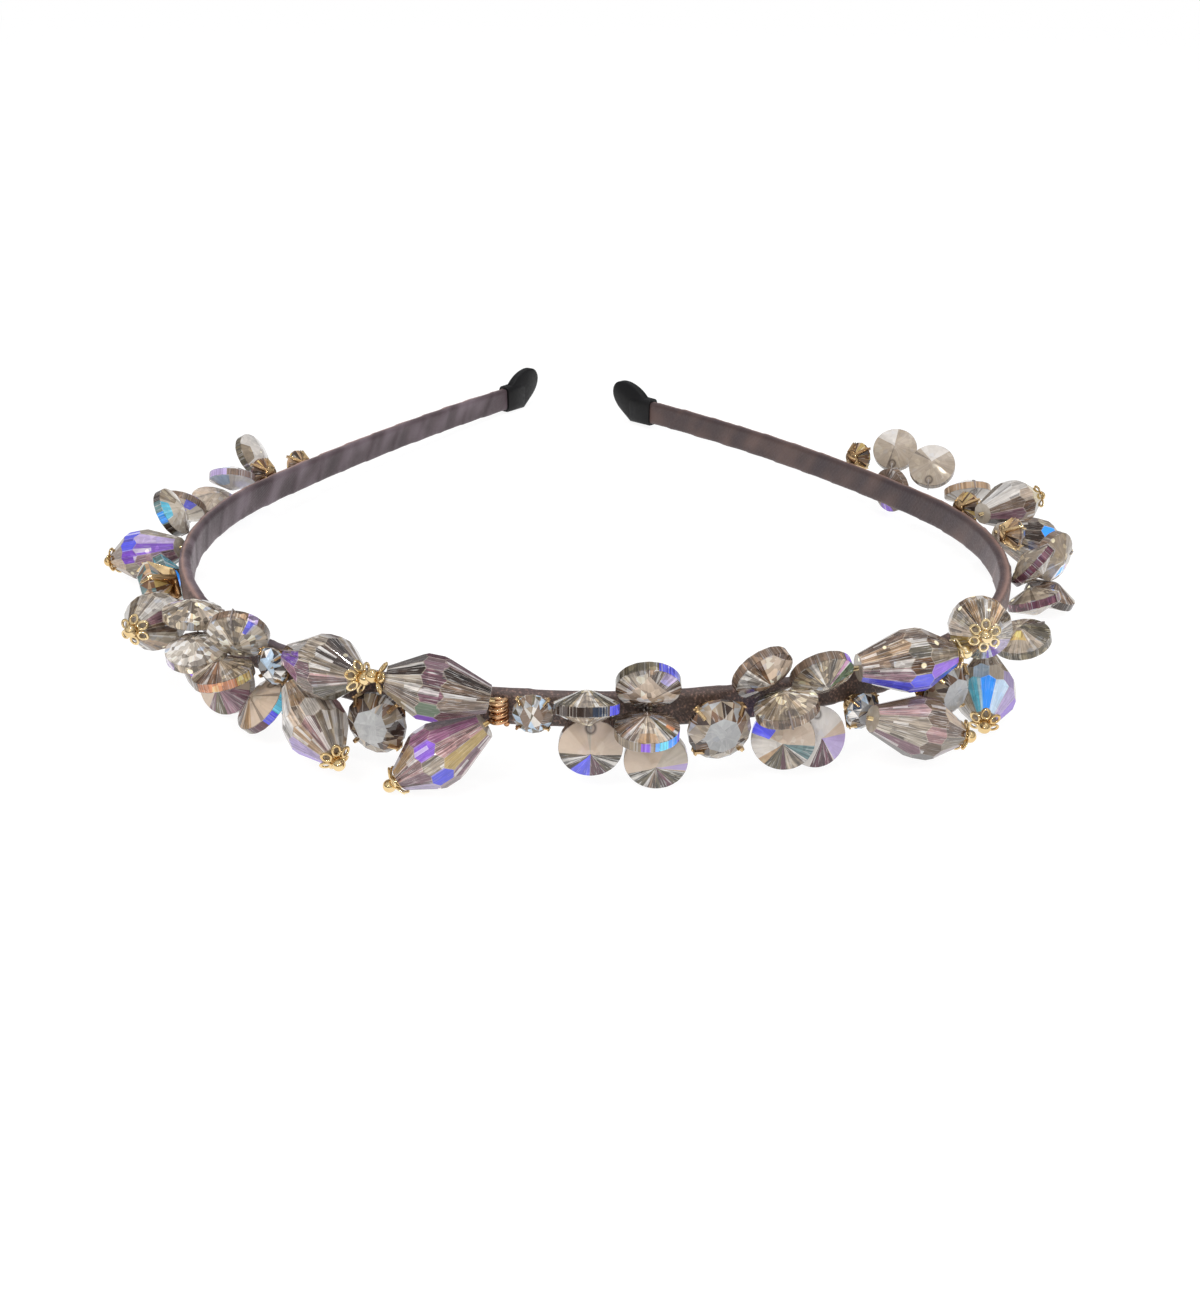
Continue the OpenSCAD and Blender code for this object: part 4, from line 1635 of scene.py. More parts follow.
@dataclass
class SoftTip:
    """One end tip: a sleeve over the strip's end and a flat oval pad turned up a little."""

    sleeve: float = 5.5
    pad_length: float = 11.78
    pad_width: float = 7.1
    pad_thickness: float = 1.9
    bend: float = 4.0
    rise: float = 22.0

    def ring_at(
        self, mesh: Mesh, at: float, thick: float, wide: float, sides: int = 28
    ) -> list[bmesh.types.BMEdge]:
        """Adds a rounded ring across the tip.

        Args:
            mesh: The bmesh it is added to.
            at: Its place along the strip.
            thick: Its thickness.
            wide: Its width.
            sides: Corners round it.

        Returns:
            Its edges.
        """
        ring = bmesh.ops.create_circle(mesh, segments=sides, radius=1)["verts"]
        for vert in ring:
            px, pz = vert.co.x, vert.co.y
            out = math.copysign(abs(px) ** 0.5, px) * thick / 2
            up = math.copysign(abs(pz) ** 0.5, pz) * wide / 2
            vert.co = Vector((at, out, up))
        return list({e for v in ring for e in v.link_edges})

    def pad(self) -> Mesh:
        """The flat pad.

        Returns:
            The pad, spanned to the sleeve's end at the origin.
        """
        mesh = bmesh.new()
        self.ring_at(mesh, 0.0, 3.06, 5.85)
        half, depth = self.pad_width / 2, self.pad_thickness / 2
        place = (
            turn_by(-self.bend, "Z")
            @ turn_by(-self.rise, "Y")
            @ Matrix.Translation((0.9, 0, 1.15))
            @ Matrix.Scale(self.pad_length / self.pad_width, 4, (1, 0, 0))
            @ Matrix.Rotation(math.pi / 2, 4, "X")
        )
        for radius, height in (
            (half - 0.5, depth),
            (half - 0.18, depth - 0.14),
            (half, depth - 0.45),
            (half, 0.45 - depth),
            (half - 0.18, 0.14 - depth),
            (half - 0.5, -depth),
        ):
            matrix = place @ lift(height)
            bmesh.ops.create_circle(mesh, segments=56, radius=radius, matrix=matrix)
        span(mesh)
        return mesh

    def build(self, name: str, side: int, material: Material) -> None:
        """Makes a tip.

        Args:
            name: The tip's node name.
            side: 1 for the right end, -1 for the left.
            material: Its material.
        """
        arcs = PLAN.right if side > 0 else PLAN.left
        x, y, heading = PLAN.walk(arcs, sum(a.length for a in arcs))
        mesh = bmesh.new()
        edges: list[bmesh.types.BMEdge] = []
        for at, thick, wide in (
            (-self.sleeve, 2.9, 5.5),
            (-self.sleeve + 0.2, 3.1, 5.7),
            (-self.sleeve / 2, 3.12, 5.78),
            (0.0, 3.06, 5.85),
            (0.4, 2.6, 5.4),
        ):
            edges += self.ring_at(mesh, at, thick, wide)
        bmesh.ops.bridge_loops(mesh, edges=edges)
        close_ends(mesh, 28)
        merge_into(mesh, self.pad(), Matrix.Identity(4))
        start = Matrix.Translation((x, y, 0)) @ turn_by(heading, "Z")
        move(mesh, start)
        if side < 0:
            bmesh.ops.scale(mesh, vec=(-1, 1, 1), verts=mesh.verts)
        move(mesh, PLAN.at_rest())
        face_out(mesh)
        piece = add_piece(name + "_moulded", mesh, material, (name,), smooth=True)
        piece.data.set_sharp_from_angle(angle=math.radians(50))


@dataclass
class CrystalDrop:
    """A drop of twelve sides with long facets, a hexagonal belt and flat ends."""

    length: float = 12.6
    belt: float = 3.9
    cap_end: float = 1.6
    tail_end: float = 1.8
    sides: int = 12
    tail_valley: float = 5.4
    cap_valley: float = 4.0
    depth: float = 0.72
    tone: float = 0.42
    broken: float = 0.3
    # Shares of facets given a painted white or dark reflection, and the breadth below which a chamfer face
    # gets a painted highlight
    white_reflection_share: float = 0.14
    dark_reflection_share: float = 0.16
    edge_breadth: float = 0.15

    def peak(self, valley: float, end: float) -> float:
        """Height of a long facet's peak that keeps the facet flat."""
        flat = math.cos(math.pi / self.sides)
        return valley * (self.belt / flat - end * flat) / (self.belt * flat - end * flat)

    def cut(self) -> Mesh:
        """The drop's facets.

        Returns:
            The drop, with its tail end at the origin.
        """
        corner = self.belt / math.cos(math.pi / self.sides)
        half = 180 / self.sides
        return hull_of_rings(
            (
                (self.sides, self.tail_end, 0, half),
                (self.sides, self.belt, self.tail_valley, half),
                (self.sides, corner, self.peak(self.tail_valley, self.tail_end), 0),
                (self.sides, corner, self.length - self.peak(self.cap_valley, self.cap_end), 0),
                (self.sides, self.belt, self.length - self.cap_valley, half),
                (self.sides, self.cap_end, self.length, half),
            )
        )

    def front(self, seat: Seat) -> tuple[float, int]:
        """Where the front lies round the drop.

        Args:
            seat: Where the drop sits.

        Returns:
            The front's angle in degrees, and the sign of the way up.
        """
        back = seat.matrix().to_3x3().inverted()
        ahead, up = back @ seat.way(0, 30), back @ Vector((0, 0, 1))
        first, second = angle_of(ahead), angle_of(up)
        return first, 1 if (second - first) % 360 < 180 else -1

    def number(self, zone: Zone, around: float) -> int:
        """Number of the facet of a row that lies at an angle round the drop."""
        first = FACET_STEP / 2 if zone is Zone.BELT else 0
        return round((around - first) / FACET_STEP) % self.sides

    def zone_of(self, normal: Vector) -> Zone:
        """The row that a face belongs to.

        Args:
            normal: The face's normal.

        Returns:
            The row.
        """
        if abs(normal.z) > 0.9:
            return Zone.END
        if normal.z > 0.2:
            return Zone.CAP
        return Zone.TAIL if normal.z < -0.15 else Zone.BELT

    def strips(self, mesh: Mesh, chance: random.Random) -> None:
        """Parts the facets lengthwise, and a few times across, for their inner reflections.

        Args:
            mesh: The drop's bmesh.
            chance: Source of the strips' small differences.
        """
        for index in range(STRIPS):
            part_by(mesh, Vector((0, 0, 0)), round_to(STRIP * index + chance.uniform(-2, 2)))
        for height in (1.9, 3.6, 6.4, 10.4):
            part_by(mesh, Vector((0, 0, height + chance.uniform(-0.4, 0.4))), Vector((0, 0, 1)))

    def paint(self, mesh: Mesh, seat: Seat, look: DropLook, seed: int) -> None:
        """Gives each facet its colour with painted reflections and edge highlights, its painted glow and its
        place for the inner lines.

        Args:
            mesh: The drop's bmesh.
            seat: Where it sits.
            look: Its colours.
            seed: Seed of its small differences.
        """
        layers = StonePaint(mesh)
        chance = random.Random(seed)
        first, sign = self.front(seat)
        given = {(f.zone, self.number(f.zone, first + sign * f.up)): f for f in look.facets}
        plain: dict[tuple[Zone, int], Colour] = {}
        levels: dict[tuple[Zone, int], tuple[float, float]] = {}
        for face in layers.ordered():
            around, zone = angle_of(face.calc_center_median()), self.zone_of(face.normal)
            key = (zone, self.number(zone, angle_of(face.normal)))
            facet = given.get(key)
            if key not in plain:
                plain[key] = scaled(look.body.colour, chance.uniform(0.75, 1.35))
            body = facet.film.colour if facet else plain[key]
            lines = facet.lines if facet else look.lines
            if zone is Zone.END:
                body, lines = Film.PALE.colour, 0.1
            strip = (zone, math.floor(around / STRIP))
            if strip not in levels:
                levels[strip] = (chance.uniform(-self.tone, self.tone), chance.random())
            level, draw = levels[strip]
            if chance.random() < self.broken:
                level, draw = chance.uniform(-self.tone, 0.5), chance.random()
            lit = scaled(body, facet.glow) if facet and facet.glow else NO_GLOW
            body = scaled(body, self.depth * (1 + lines * level))
            # Painted highlight on the narrow chamfer faces, and painted white or dark reflections on some
            # facets
            if breadth(face) < self.edge_breadth:
                body = blend_colours(body, Film.PALE.colour, 0.35)
            elif draw < self.white_reflection_share * lines:
                body = blend_colours(body, Film.WHITE.colour, 0.6)
            elif draw > 1 - self.dark_reflection_share * lines:
                body = blend_colours(body, Film.SMOKE.colour, 0.6)
            spark = look.spark * (0.3 if facet and lines < 0.3 else 1.0)
            for loop in face.loops:
                co = loop.vert.co
                here = angle_from(around, co, 0.01)
                place = (here / FACET_STEP, co.z / self.length * 2 + seed)
                layers.loop(loop, body, lines, lit, spark, place)

    def build(self, name: str, seat: Seat, look: DropLook, seed: int, material: Material) -> None:
        """Makes one drop in its place.

        Args:
            name: Its node's name.
            seat: Where it sits.
            look: Its colours.
            seed: Seed of its small differences.
            material: Its glass.
        """
        mesh = self.cut()
        chamfer(mesh, CHAMFER)
        self.strips(mesh, random.Random(seed + STRIP_SEED))
        self.paint(mesh, seat, look, seed)
        matrix = seat.matrix() @ lift(-self.length / 2)
        move(mesh, matrix)
        add_piece(name + "_cut", mesh, material, (name,))


@dataclass
class DiscCrystal:
    """A disc pointed on both sides, drilled near its rim."""

    radius: float = 3.97
    rim: float = 1.3
    point: float = 2.1
    table: float = 0.6
    sides: int = 16
    hole_reach: float = 3.0
    tone: float = 0.4
    # Shares of facets given a painted white or dark reflection, and the breadth and reach within which a
    # narrow face at the rim gets painted shade or a painted highlight
    white_reflection_share: float = 0.14
    dark_reflection_share: float = 0.2
    edge_breadth: float = 0.12
    edge_reach: float = 3.7

    def cut(self) -> Mesh:
        """The disc's facets inside a round rim.

        Returns:
            The disc, with its middle at the origin.
        """
        mesh = bmesh.new()
        half = math.pi / self.sides
        slope = (self.point - self.rim / 2) / ((self.radius - self.table) * math.cos(half))
        for side in (1, -1):
            at_point = lift(side * self.point)
            bmesh.ops.create_circle(mesh, segments=self.sides, radius=self.table, matrix=at_point)
            made = bmesh.ops.create_circle(mesh, segments=4 * self.sides, radius=self.radius)
            for vert in made["verts"]:
                angle = math.atan2(vert.co.y, vert.co.x) % (2 * half) - half
                drop = slope * self.radius * (math.cos(angle) - math.cos(half))
                vert.co.z = side * (self.rim / 2 - drop)
        span(mesh)
        return mesh

    def strips(self, mesh: Mesh, look: DiscLook, chance: random.Random) -> None:
        """Parts the facets along the looks' wedges and into narrow sectors.

        Args:
            mesh: The disc's bmesh.
            look: Its colours.
            chance: Source of the sectors' small differences.
        """
        for index in range(STRIPS):
            part_by(mesh, Vector((0, 0, 0)), round_to(STRIP * index + chance.uniform(-2, 2)))
        for wedge in look.wedges:
            for out, reach in wedge.edges():
                part_by(mesh, out * reach, out)

    def face_colour(self, look: DiscLook, middle: Vector) -> tuple[Film, float, float]:
        """The colour at a place on the disc's face.

        Args:
            look: The disc's colours.
            middle: The place.

        Returns:
            Its film, lines and glow.
        """
        found = (look.face, look.lines, 0.0)
        for wedge in look.wedges:
            if wedge.holds(Vector((middle.x, middle.y, 0))):
                found = (wedge.film, wedge.lines, wedge.glow)
        return found

    def rim_colour(self, look: DiscLook, around: float) -> tuple[Film, float]:
        """The colour of the rim.

        Args:
            look: The disc's colours.
            around: The place's angle round the disc.

        Returns:
            Its film and glow.
        """
        found = (look.rim, 0.0)
        for part in look.rims:
            if degrees_apart(around, part.at) <= part.spread / 2:
                found = (part.film, part.glow)
        return found

    def paint(self, mesh: Mesh, look: DiscLook, side: float, seed: int) -> None:
        """Gives each facet its colour by its place on the disc, with painted reflections, painted glow, and
        painted shade and highlights on the rim's narrow faces.

        Args:
            mesh: The disc's bmesh.
            look: Its colours.
            side: Angle of the drill hole round the disc.
            seed: Seed of its small differences.
        """
        layers = StonePaint(mesh)
        chance = random.Random(seed)
        strips = round(360 / STRIP)
        tone = self.tone
        levels = [(chance.uniform(-tone, tone), chance.random()) for _ in range(2 * strips)]
        hole = round_to(side) * self.hole_reach
        for face in layers.ordered():
            middle = face.calc_center_median()
            around = angle_of(middle) % 360
            strip = int(around / STRIP) + (strips if middle.z < 0 else 0)
            level, draw = levels[strip % len(levels)]
            if abs(face.normal.z) < 0.4:
                film, glow = self.rim_colour(look, around)
                lines = 0.35
                body = scaled(film.colour, 1 + 0.5 * level)
            else:
                film, lines, glow = self.face_colour(look, middle)
                body = scaled(film.colour, 1 + lines * level + chance.uniform(-0.02, 0.02))
                # Painted white and dark reflections on some facets
                if draw < self.white_reflection_share * lines:
                    body = blend_colours(body, Film.WHITE.colour, 0.55)
                elif draw > 1 - self.dark_reflection_share * lines:
                    body = blend_colours(body, Film.SMOKE.colour, 0.55)
            lit = scaled(body, glow) if glow else NO_GLOW
            # Painted shade on the narrow faces at the rim, with a painted silver highlight on some of them
            if breadth(face) < self.edge_breadth and middle.xy.length > self.edge_reach:
                body = blend_colours(scaled(body, 0.55), Film.SILVER.colour, 0.5 if draw > 0.7 else 0.0)
            for loop in face.loops:
                co = loop.vert.co
                here = angle_from(around, co, 0.02)
                reach = co.xy.length / self.radius
                spark = look.spark + (look.spark_rim - look.spark) * min(1.0, reach * 1.6)
                place = (here / 360 * 4, reach + seed)
                plan = ((co.x - hole.x) / 10, (co.y - hole.y) / 10)
                layers.loop(loop, body, lines, lit, spark, place, plan)

    def build(
        self, name: str, seat: Seat, side: float, look: DiscLook, seed: int, material: Material
    ) -> None:
        """Makes one disc in its place.

        Args:
            name: Its node's name.
            seat: Where it sits.
            side: Angle of its drill hole.
            look: Its colours.
            seed: Seed of its small differences.
            material: Its glass.
        """
        mesh = self.cut()
        chamfer(mesh, CHAMFER)
        self.strips(mesh, look, random.Random(seed + STRIP_SEED))
        self.paint(mesh, look, side, seed)
        move(mesh, seat.matrix())
        add_piece(name + "_cut", mesh, material, (name,))


@dataclass
class SetStone:
    """A stone in a claw setting: table, crown, girdle and pavilion."""

    radius: float
    sides: int = 8

    @property
    def base(self) -> float:
        """Thickness of the setting's base."""
        return 0.3 + 0.08 * self.radius

    @property
    def girdle_low(self) -> float:
        """Height of the girdle's lower edge."""
        return self.base + 0.15 + 0.68 * self.radius

    @property
    def girdle_high(self) -> float:
        """Height of the girdle's upper edge."""
        return self.girdle_low + 0.14 * self.radius

    def crown(self, radius: float) -> float:
        """Height of the crown at a radius."""
        return self.girdle_high + 0.36 * self.radius * (self.radius - radius) / (0.42 * self.radius)

    def cut(self) -> Mesh:
        """The stone's facets.

        Returns:
            The stone, with the setting's foot at the origin.
        """
        r = self.radius
        return hull_of_rings(
            (
                (self.sides, 0.1 * r, self.base + 0.15, 0),
                (2 * self.sides, r, self.girdle_low, 0),
                (2 * self.sides, r, self.girdle_high, 0),
                (self.sides, 0.86 * r, self.crown(0.84 * r), 180 / self.sides),
                (self.sides, 0.58 * r, self.girdle_high + 0.36 * r, 0),
            )
        )

    def paint(
        self, mesh: Mesh, table: Film, films: tuple[Film, ...], seed: int, glow_by: float
    ) -> None:
        """Gives each facet one of the stone's films, and the table broken shards of its own.

        Args:
            mesh: The stone's bmesh.
            table: Film of the table.
            films: Films of the other facets.
            seed: Seed of its choices.
            glow_by: Share of each colour that glows, as painted glow.
        """
        chance = random.Random(seed)
        for _ in range(5):
            start = round_to(chance.uniform(0, 360)) * chance.uniform(0.0, 0.3) * self.radius
            part_by(mesh, start, round_to(chance.uniform(0, 360)))
        layers = StonePaint(mesh)
        for face in layers.ordered():
            around = angle_of(face.calc_center_median())
            top = face.normal.z > 0.98
            if top:
                film = chance.choice((table, table, *films)) if glow_by else table
            else:
                film = chance.choice(films)
            spread = 0.16 if top and not glow_by else 0.22
            body = scaled(film.colour, chance.uniform(1 - spread, 1 + spread))
            for loop in face.loops:
                co = loop.vert.co
                place = (angle_from(around, co, 0.05) / 90, co.xy.length / self.radius + seed)
                layers.loop(loop, body, 0.15 if top else 0.6, scaled(body, glow_by), 0.1, place)


@dataclass
class ClawSetting:
    """Four claws on a round base."""

    stone: SetStone
    wide: float = 0.2
    thick: float = 0.3
    clear: float = 0.12
    hook: float = 0.78
    rounding: float = 0.09

    def claw(self) -> Mesh:
        """One claw: its outline, thickened, narrowed over the stone and rounded.

        Returns:
            The claw, pointing along X.
        """
        s, r = self.stone, self.stone.radius
        inner = r + self.clear
        outer = inner + self.thick
        hook = self.hook * r
        hook_h = s.crown(hook) + 0.16
        outline = (
            (0, 0),
            (0.55 * r, 0),
            (outer, s.girdle_low),
            (outer, s.girdle_high + 0.25),
            (hook + 0.1, hook_h + 0.34),
            (hook, hook_h),
            (inner, s.girdle_high + 0.1),
            (inner, s.girdle_low),
            (0.5 * r, s.base),
            (0, s.base),
        )
        mesh = bmesh.new()
        half = self.wide * r / 2
        verts = [bmesh.ops.create_vert(mesh, co=(x, -half, z))["vert"][0] for x, z in outline]
        face = bmesh.ops.contextual_create(mesh, geom=verts)["faces"]
        grown = bmesh.ops.extrude_face_region(mesh, geom=face)["geom"]
        moved = [g for g in grown if isinstance(g, bmesh.types.BMVert)]
        bmesh.ops.translate(mesh, vec=(0, 2 * half, 0), verts=moved)
        for vert in mesh.verts:
            if vert.co.z > s.girdle_high:
                vert.co.y *= 0.65
        face_out(mesh)
        round_edges(mesh, list(mesh.edges), self.rounding, 2)
        return mesh

    def build(self) -> Mesh:
        """The whole setting.

        Returns:
            The base and its claws, with the foot at the origin.
        """
        whole = bmesh.new()
        r, base = self.stone.radius, self.stone.base
        add_rod(whole, 32, 0.5 * r, 0.58 * r, base, lift(base / 2))
        for index in range(4):
            turn = turn_by(45 + 90 * index, "Z")
            merge_into(whole, self.claw(), turn)
        return whole


@dataclass
class CapPin:
    """Flower cap of six pierced petals, its pin and its ball."""

    drop_length: float = 12.6
    petals: int = 6
    reach: float = 1.42
    tilt: float = 28.0
    ball: float = 0.85
    pin: float = 0.3

    def ring(self, radius: float, wire: float, stretch: float) -> Mesh:
        """A round wire ring, stretched along X.

        Args:
            radius: Radius of the ring before it is stretched.
            wire: Radius of the wire.
            stretch: How much longer it is made.

        Returns:
            The ring.
        """
        mesh = spun_wire(radius, wire, 8, 20)
        bmesh.ops.scale(mesh, vec=(stretch, 1, 1), verts=mesh.verts)
        face_out(mesh)
        return mesh

    def build(self) -> Mesh:
        """The whole pin.

        Returns:
            Petals, their ring and hub, the ball and the pin, with the drop's tail end at the origin.
        """
        whole = bmesh.new()
        top = self.drop_length
        for index in range(self.petals):
            place = (
                Matrix.Rotation(math.tau * index / self.petals, 4, "Z")
                @ Matrix.Translation((self.reach, 0, top + 0.5))
                @ turn_by(self.tilt, "Y")
            )
            merge_into(whole, self.ring(0.5, 0.17, 1.28), place)
        merge_into(whole, self.ring(0.62, 0.2, 1.0), lift(top + 0.62))
        add_rod(whole, 20, 0.7, 0.45, 0.6, lift(top + 0.5))
        bmesh.ops.create_uvsphere(
            whole,
            u_segments=24,
            v_segments=16,
            radius=self.ball,
            matrix=lift(top + 1.55),
        )
        add_rod(whole, 12, self.pin, self.pin, top + 2.2, lift((top + 0.8) / 2))
        return whole


@dataclass
class WireCoil:
    """Round wire wound four times."""

    turns: int = 4
    wire: float = 0.36
    radius: float = 0.94
    pitch: float = 0.86

    def build(self, material: Material) -> None:
        """Makes the coil in its place.

        Args:
            material: Its metal.
        """
        mesh = spun_wire(self.radius, self.wire, 12, 28, self.turns, self.pitch)
        close_ends(mesh, 12)
        face_out(mesh)
        place = PLAN.seat(COIL.along, COIL.out, COIL.up)
        move(mesh, place)
        add_piece("coil_wire", mesh, material, ("wire_coil",), smooth=True)


@dataclass
class SewingThread:
    """Clear nylon thread that ties each disc by its drill hole."""

    thick: float = 0.11
    clear: float = 0.1
    disc: DiscCrystal = field(default_factory=DiscCrystal)

    def strand(self, whole: Mesh, start: Vector, end: Vector) -> None:
        """Adds one straight length of thread.

        Args:
            whole: The bmesh it is added to.
            start: Its first end, in mm.
            end: Its other end.
        """
        run = end - start
        place = Matrix.Translation((start + end) / 2) @ run.to_track_quat("Z", "Y").to_matrix().to_4x4()
        add_rod(whole, 6, self.thick, self.thick, run.length + self.thick, place)

    def build(self, material: Material) -> None:
        """Ties every disc: from its hole over the rim to the hole's other side.

        Args:
            material: The thread's material.
        """
        whole = bmesh.new()
        d = self.disc
        slope = (d.point - d.rim / 2) / (d.radius - d.table)
        high = Vector((0, 0, d.point - slope * (d.hole_reach - d.table) + self.clear / 2))
        low = Vector((0, 0, d.rim / 2 + self.clear / 2))
        for seat, side, _ in DISCS.values():
            hole, rim = round_to(side) * d.hole_reach, round_to(side) * (d.radius + self.clear)
            path = [seat.matrix() @ place for place in (hole + high, rim + low, rim - low, hole - high)]
            for start, end in zip(path, path[1:]):
                self.strand(whole, start, end)
        add_piece("nylon_ties", whole, material, smooth=True)


@dataclass
class Crystals:
    """All the stones, caps and settings of the headband."""

    effects: Effects

    def drops(self) -> None:
        """Makes the drops and their capped pins."""
        glass = GlassFinish("drop_glass", 9.0, 1.4, 3.0, 0.5, 0.2, 0.2).build(self.effects)
        finish = MetalFinish("cap_gold", screen(252, 232, 186), screen(224, 190, 132), 0.08)
        gold = finish.build(self.effects)
        for seed, (name, (seat, look)) in enumerate(DROPS.items()):
            CrystalDrop().build(name, seat, look, seed + 11, glass)
        for side, node in ((-1, "drop_pins_left"), (1, "drop_pins_right")):
            whole = bmesh.new()
            for seat, _ in DROPS.values():
                if math.copysign(1, seat.along) == side:
                    middle = lift(-CapPin.drop_length / 2)
                    merge_into(whole, CapPin().build(), seat.matrix() @ middle)
            add_piece(node + "_gold", whole, gold, (node,), smooth=True)

    def discs(self) -> None:
        """Makes the disc crystals."""
        glass = GlassFinish("disc_glass", 14.0, 0.8, 3.2, 0.6, 0.2, 0.22).build(self.effects)
        for seed, (name, (seat, side, look)) in enumerate(DISCS.items()):
            DiscCrystal().build(name, seat, side, look, seed + 31, glass)

    def set_stones(self) -> None:
        """Makes the grey and clear stones and their settings."""
        grey = GlassFinish("grey_glass", 6.0, 1.0, 2.2, 0.3, 0.25, 0.15).build(self.effects)
        clear = GlassFinish("clear_glass", 6.0, 1.0, 2.6, 0.4, 0.35, 0.2).build(self.effects)
        finish = MetalFinish("setting_gold", screen(236, 208, 160), screen(170, 132, 92), 0.14)
        gold = finish.build(self.effects)
        films = (Film.SMOKE, Film.BROWN, Film.OPAL, Film.GREIGE, Film.SMOKE, Film.MIST)
        shown = (Film.BROWN, Film.TAN, Film.TEAL, Film.BROWN, Film.GOLD)
        large = SetStone(4.0)
        claws = bmesh.new()
        for seed, (name, seat) in enumerate(GREY_STONES.items()):
            mesh = large.cut()
            large.paint(mesh, Film.OPAL, shown if name == "grey_stone_4" else films, seed + 71, 0.0)
            chamfer(mesh, 0.05)
            move(mesh, seat.matrix())
            add_piece(name + "_cut", mesh, grey, (name,))
            merge_into(claws, ClawSetting(large).build(), seat.matrix())
        add_piece("grey_claws", claws, gold, ("grey_settings",), smooth=True)
        small = SetStone(2.5)
        stones, claws = bmesh.new(), bmesh.new()
        # A clear stone's facet colours are painted reflections: bright on two front stones, plainer on the
        # first, warm on the stones of the arms
        bright = (Film.ICE, Film.NIGHT, Film.OPAL, Film.SMOKE, Film.WHITE, Film.GREIGE)
        plain = (Film.GREIGE, Film.TAUPE, Film.OPAL, Film.TAUPE, Film.ICE, Film.OLIVE)
        warm = (Film.BROWN, Film.TAN, Film.GOLD, Film.BROWN, Film.TAUPE, Film.SMOKE)
        for seed, seat in enumerate(CLEAR_STONES):
            mesh = small.cut()
            films = plain if seed == 0 else bright if seed < 3 else warm
            small.paint(mesh, Film.SILVER if seed == 0 else Film.ICE, films, seed + 91, 0.06)
            chamfer(mesh, 0.03)
            merge_into(stones, mesh, seat.matrix())
            merge_into(claws, ClawSetting(small).build(), seat.matrix())
        add_piece("clear_stones_cut", stones, clear, ("clear_stones",))
        add_piece("clear_claws", claws, gold, ("clear_settings",), smooth=True)


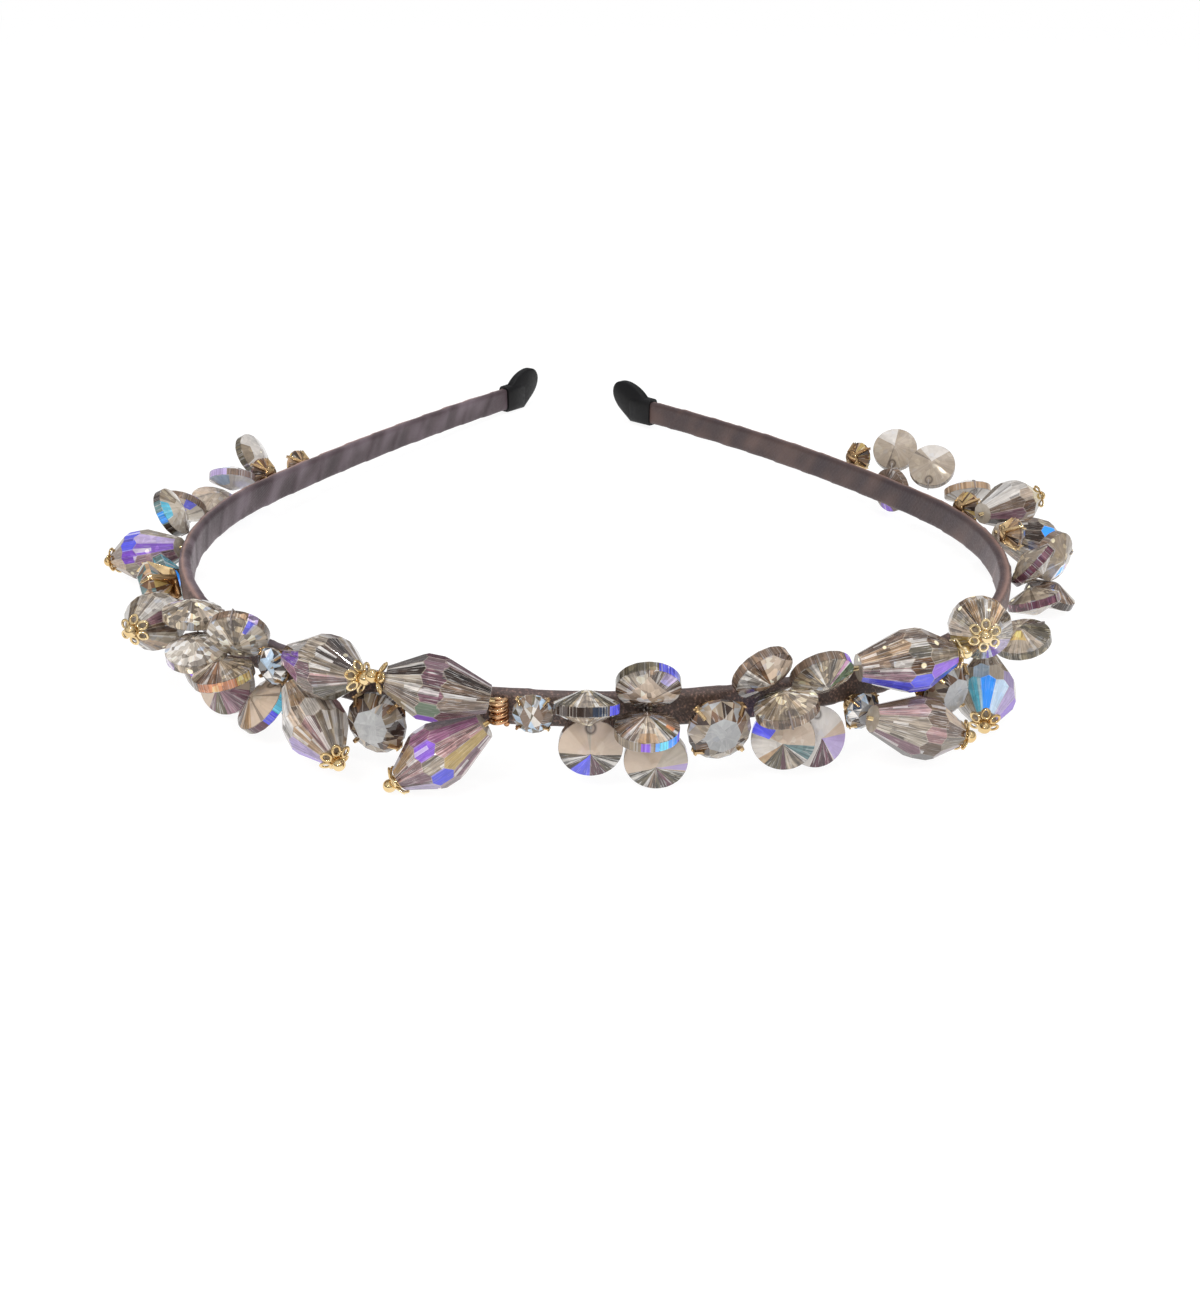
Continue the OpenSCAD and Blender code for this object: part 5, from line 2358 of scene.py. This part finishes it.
@dataclass
class Studio:
    """Camera, lights and floor."""

    camera_at: tuple[float, float, float] = (-6.39, -214.9, 94.24)
    camera_turn: tuple[float, float, float] = (61.984, -0.637, -1.795)
    lens: float = 37.291
    floor_size: float = 1500.0

    def camera(self) -> None:
        """Puts the camera at the photograph's angle."""
        data = bpy.data.cameras.new("camera")
        data.sensor_width = 36.0
        data.lens = self.lens
        data.clip_start = 0.01
        camera = bpy.data.objects.new("camera", data)
        camera.location = Vector(self.camera_at) * MM
        camera.rotation_euler = Euler([math.radians(a) for a in self.camera_turn], "XYZ")
        bpy.context.scene.collection.objects.link(camera)
        bpy.context.scene.camera = camera

    def light(
        self, name: str, at: tuple[float, float, float], size: float, power: float, warm: Colour
    ) -> None:
        """Adds a square soft light that looks at the headband.

        Args:
            name: The light's name.
            at: Its place in metres.
            size: Its side in metres.
            power: Its power in watts.
            warm: Its colour.
        """
        data = bpy.data.lights.new(name, "AREA")
        data.size = size
        data.energy = power
        data.color = warm[:3]
        lamp = bpy.data.objects.new(name, data)
        lamp.location = at
        lamp.rotation_euler = Vector(at).to_track_quat("Z", "Y").to_euler()
        lamp.visible_glossy = size < 0.1
        bpy.context.scene.collection.objects.link(lamp)

    def world(self) -> None:
        """A white backdrop for the camera and a softer room for the light and reflections."""
        world = bpy.data.worlds.new("studio")
        world.use_nodes = True
        bpy.context.scene.world = world
        tree = Tree(world.node_tree)
        way = tree.add("ShaderNodeTexCoord").outputs["Generated"]
        high = tree.add("ShaderNodeSeparateXYZ", {0: way}).outputs[2]
        room = tree.ramp(
            tree.rescale(high, -1.0, 1.0, 0.0, 1.0),
            (
                (0.0, (0.9, 0.9, 0.9, 1)),
                (0.5, (0.3, 0.29, 0.29, 1)),
                (0.7, (0.52, 0.52, 0.54, 1)),
                (1.0, (1.15, 1.15, 1.17, 1)),
            ),
        )
        level = tree.rescale(tree.noise(way, 2.6, 1.0), 0.4, 0.6, 0.3, 1.25)
        room = tree.mix(1.0, room, tree.grey(level), "MULTIPLY")
        camera_ray = tree.add("ShaderNodeLightPath").outputs["Is Camera Ray"]
        seen = tree.mix(camera_ray, room, (1.0, 1.0, 1.0, 1.0))
        tree.feed(world.node_tree.nodes["Background"], {"Color": seen, "Strength": 1.0})

    def floor(self) -> None:
        """A white table top under the headband."""
        mesh = bmesh.new()
        bmesh.ops.create_grid(mesh, x_segments=1, y_segments=1, size=self.floor_size)
        bmesh.ops.scale(mesh, vec=(MM, MM, MM), verts=mesh.verts)
        data = bpy.data.meshes.new("floor")
        mesh.to_mesh(data)
        mesh.free()
        material, tree, shader = new_material("white_floor")
        values = {
            "Base Color": (0.16, 0.16, 0.16, 1.0),
            "Roughness": 0.9,
            "Specular IOR Level": 0.0,
            "Emission Color": (1.0, 1.0, 1.0, 1.0),
            "Emission Strength": 0.9,
        }
        tree.feed(shader, values)
        data.materials.append(material)
        floor = bpy.data.objects.new("floor", data)
        bpy.context.scene.collection.objects.link(floor)

    def build(self) -> None:
        """Sets up the whole studio."""
        self.camera()
        self.world()
        self.floor()
        self.light("key", (-0.35, -0.45, 0.7), 0.35, 3.0, screen(255, 248, 240))
        self.light("side", (0.6, -0.2, 0.45), 0.2, 1.6, screen(240, 244, 255))
        self.light("spark_left", (-0.2, -0.7, 0.35), 0.03, 0.5, screen(255, 250, 240))
        self.light("spark_right", (0.3, -0.6, 0.5), 0.03, 0.5, screen(255, 244, 226))
        self.light("spark_top", (0.05, 0.1, 0.8), 0.04, 0.6, screen(255, 255, 255))
        scene = bpy.context.scene
        scene.view_settings.view_transform = "Standard"
        scene.view_settings.look = "None"
        scene.cycles.use_denoising = True
        scene.cycles.transparent_max_bounces = 12
        scene.cycles.transmission_bounces = 8


def main() -> None:
    """Builds the studio and every piece of the headband, in order."""
    logging.basicConfig(level=logging.INFO, format="%(message)s")
    Studio().build()
    effects = Effects()
    ribbon = RibbonFinish().build(effects)
    rubber = TipFinish().build(effects)
    copper = MetalFinish("coil_rose_gold", screen(246, 212, 168), screen(206, 154, 112), 0.1).build(effects)
    WrappedBand().build(ribbon)
    SoftTip().build("tip_left", -1, rubber)
    SoftTip().build("tip_right", 1, rubber)
    WireCoil().build(copper)
    crystals = Crystals(effects)
    crystals.drops()
    crystals.discs()
    crystals.set_stones()
    SewingThread().build(ThreadFinish().build(effects))


if __name__ == "__main__":
    main()
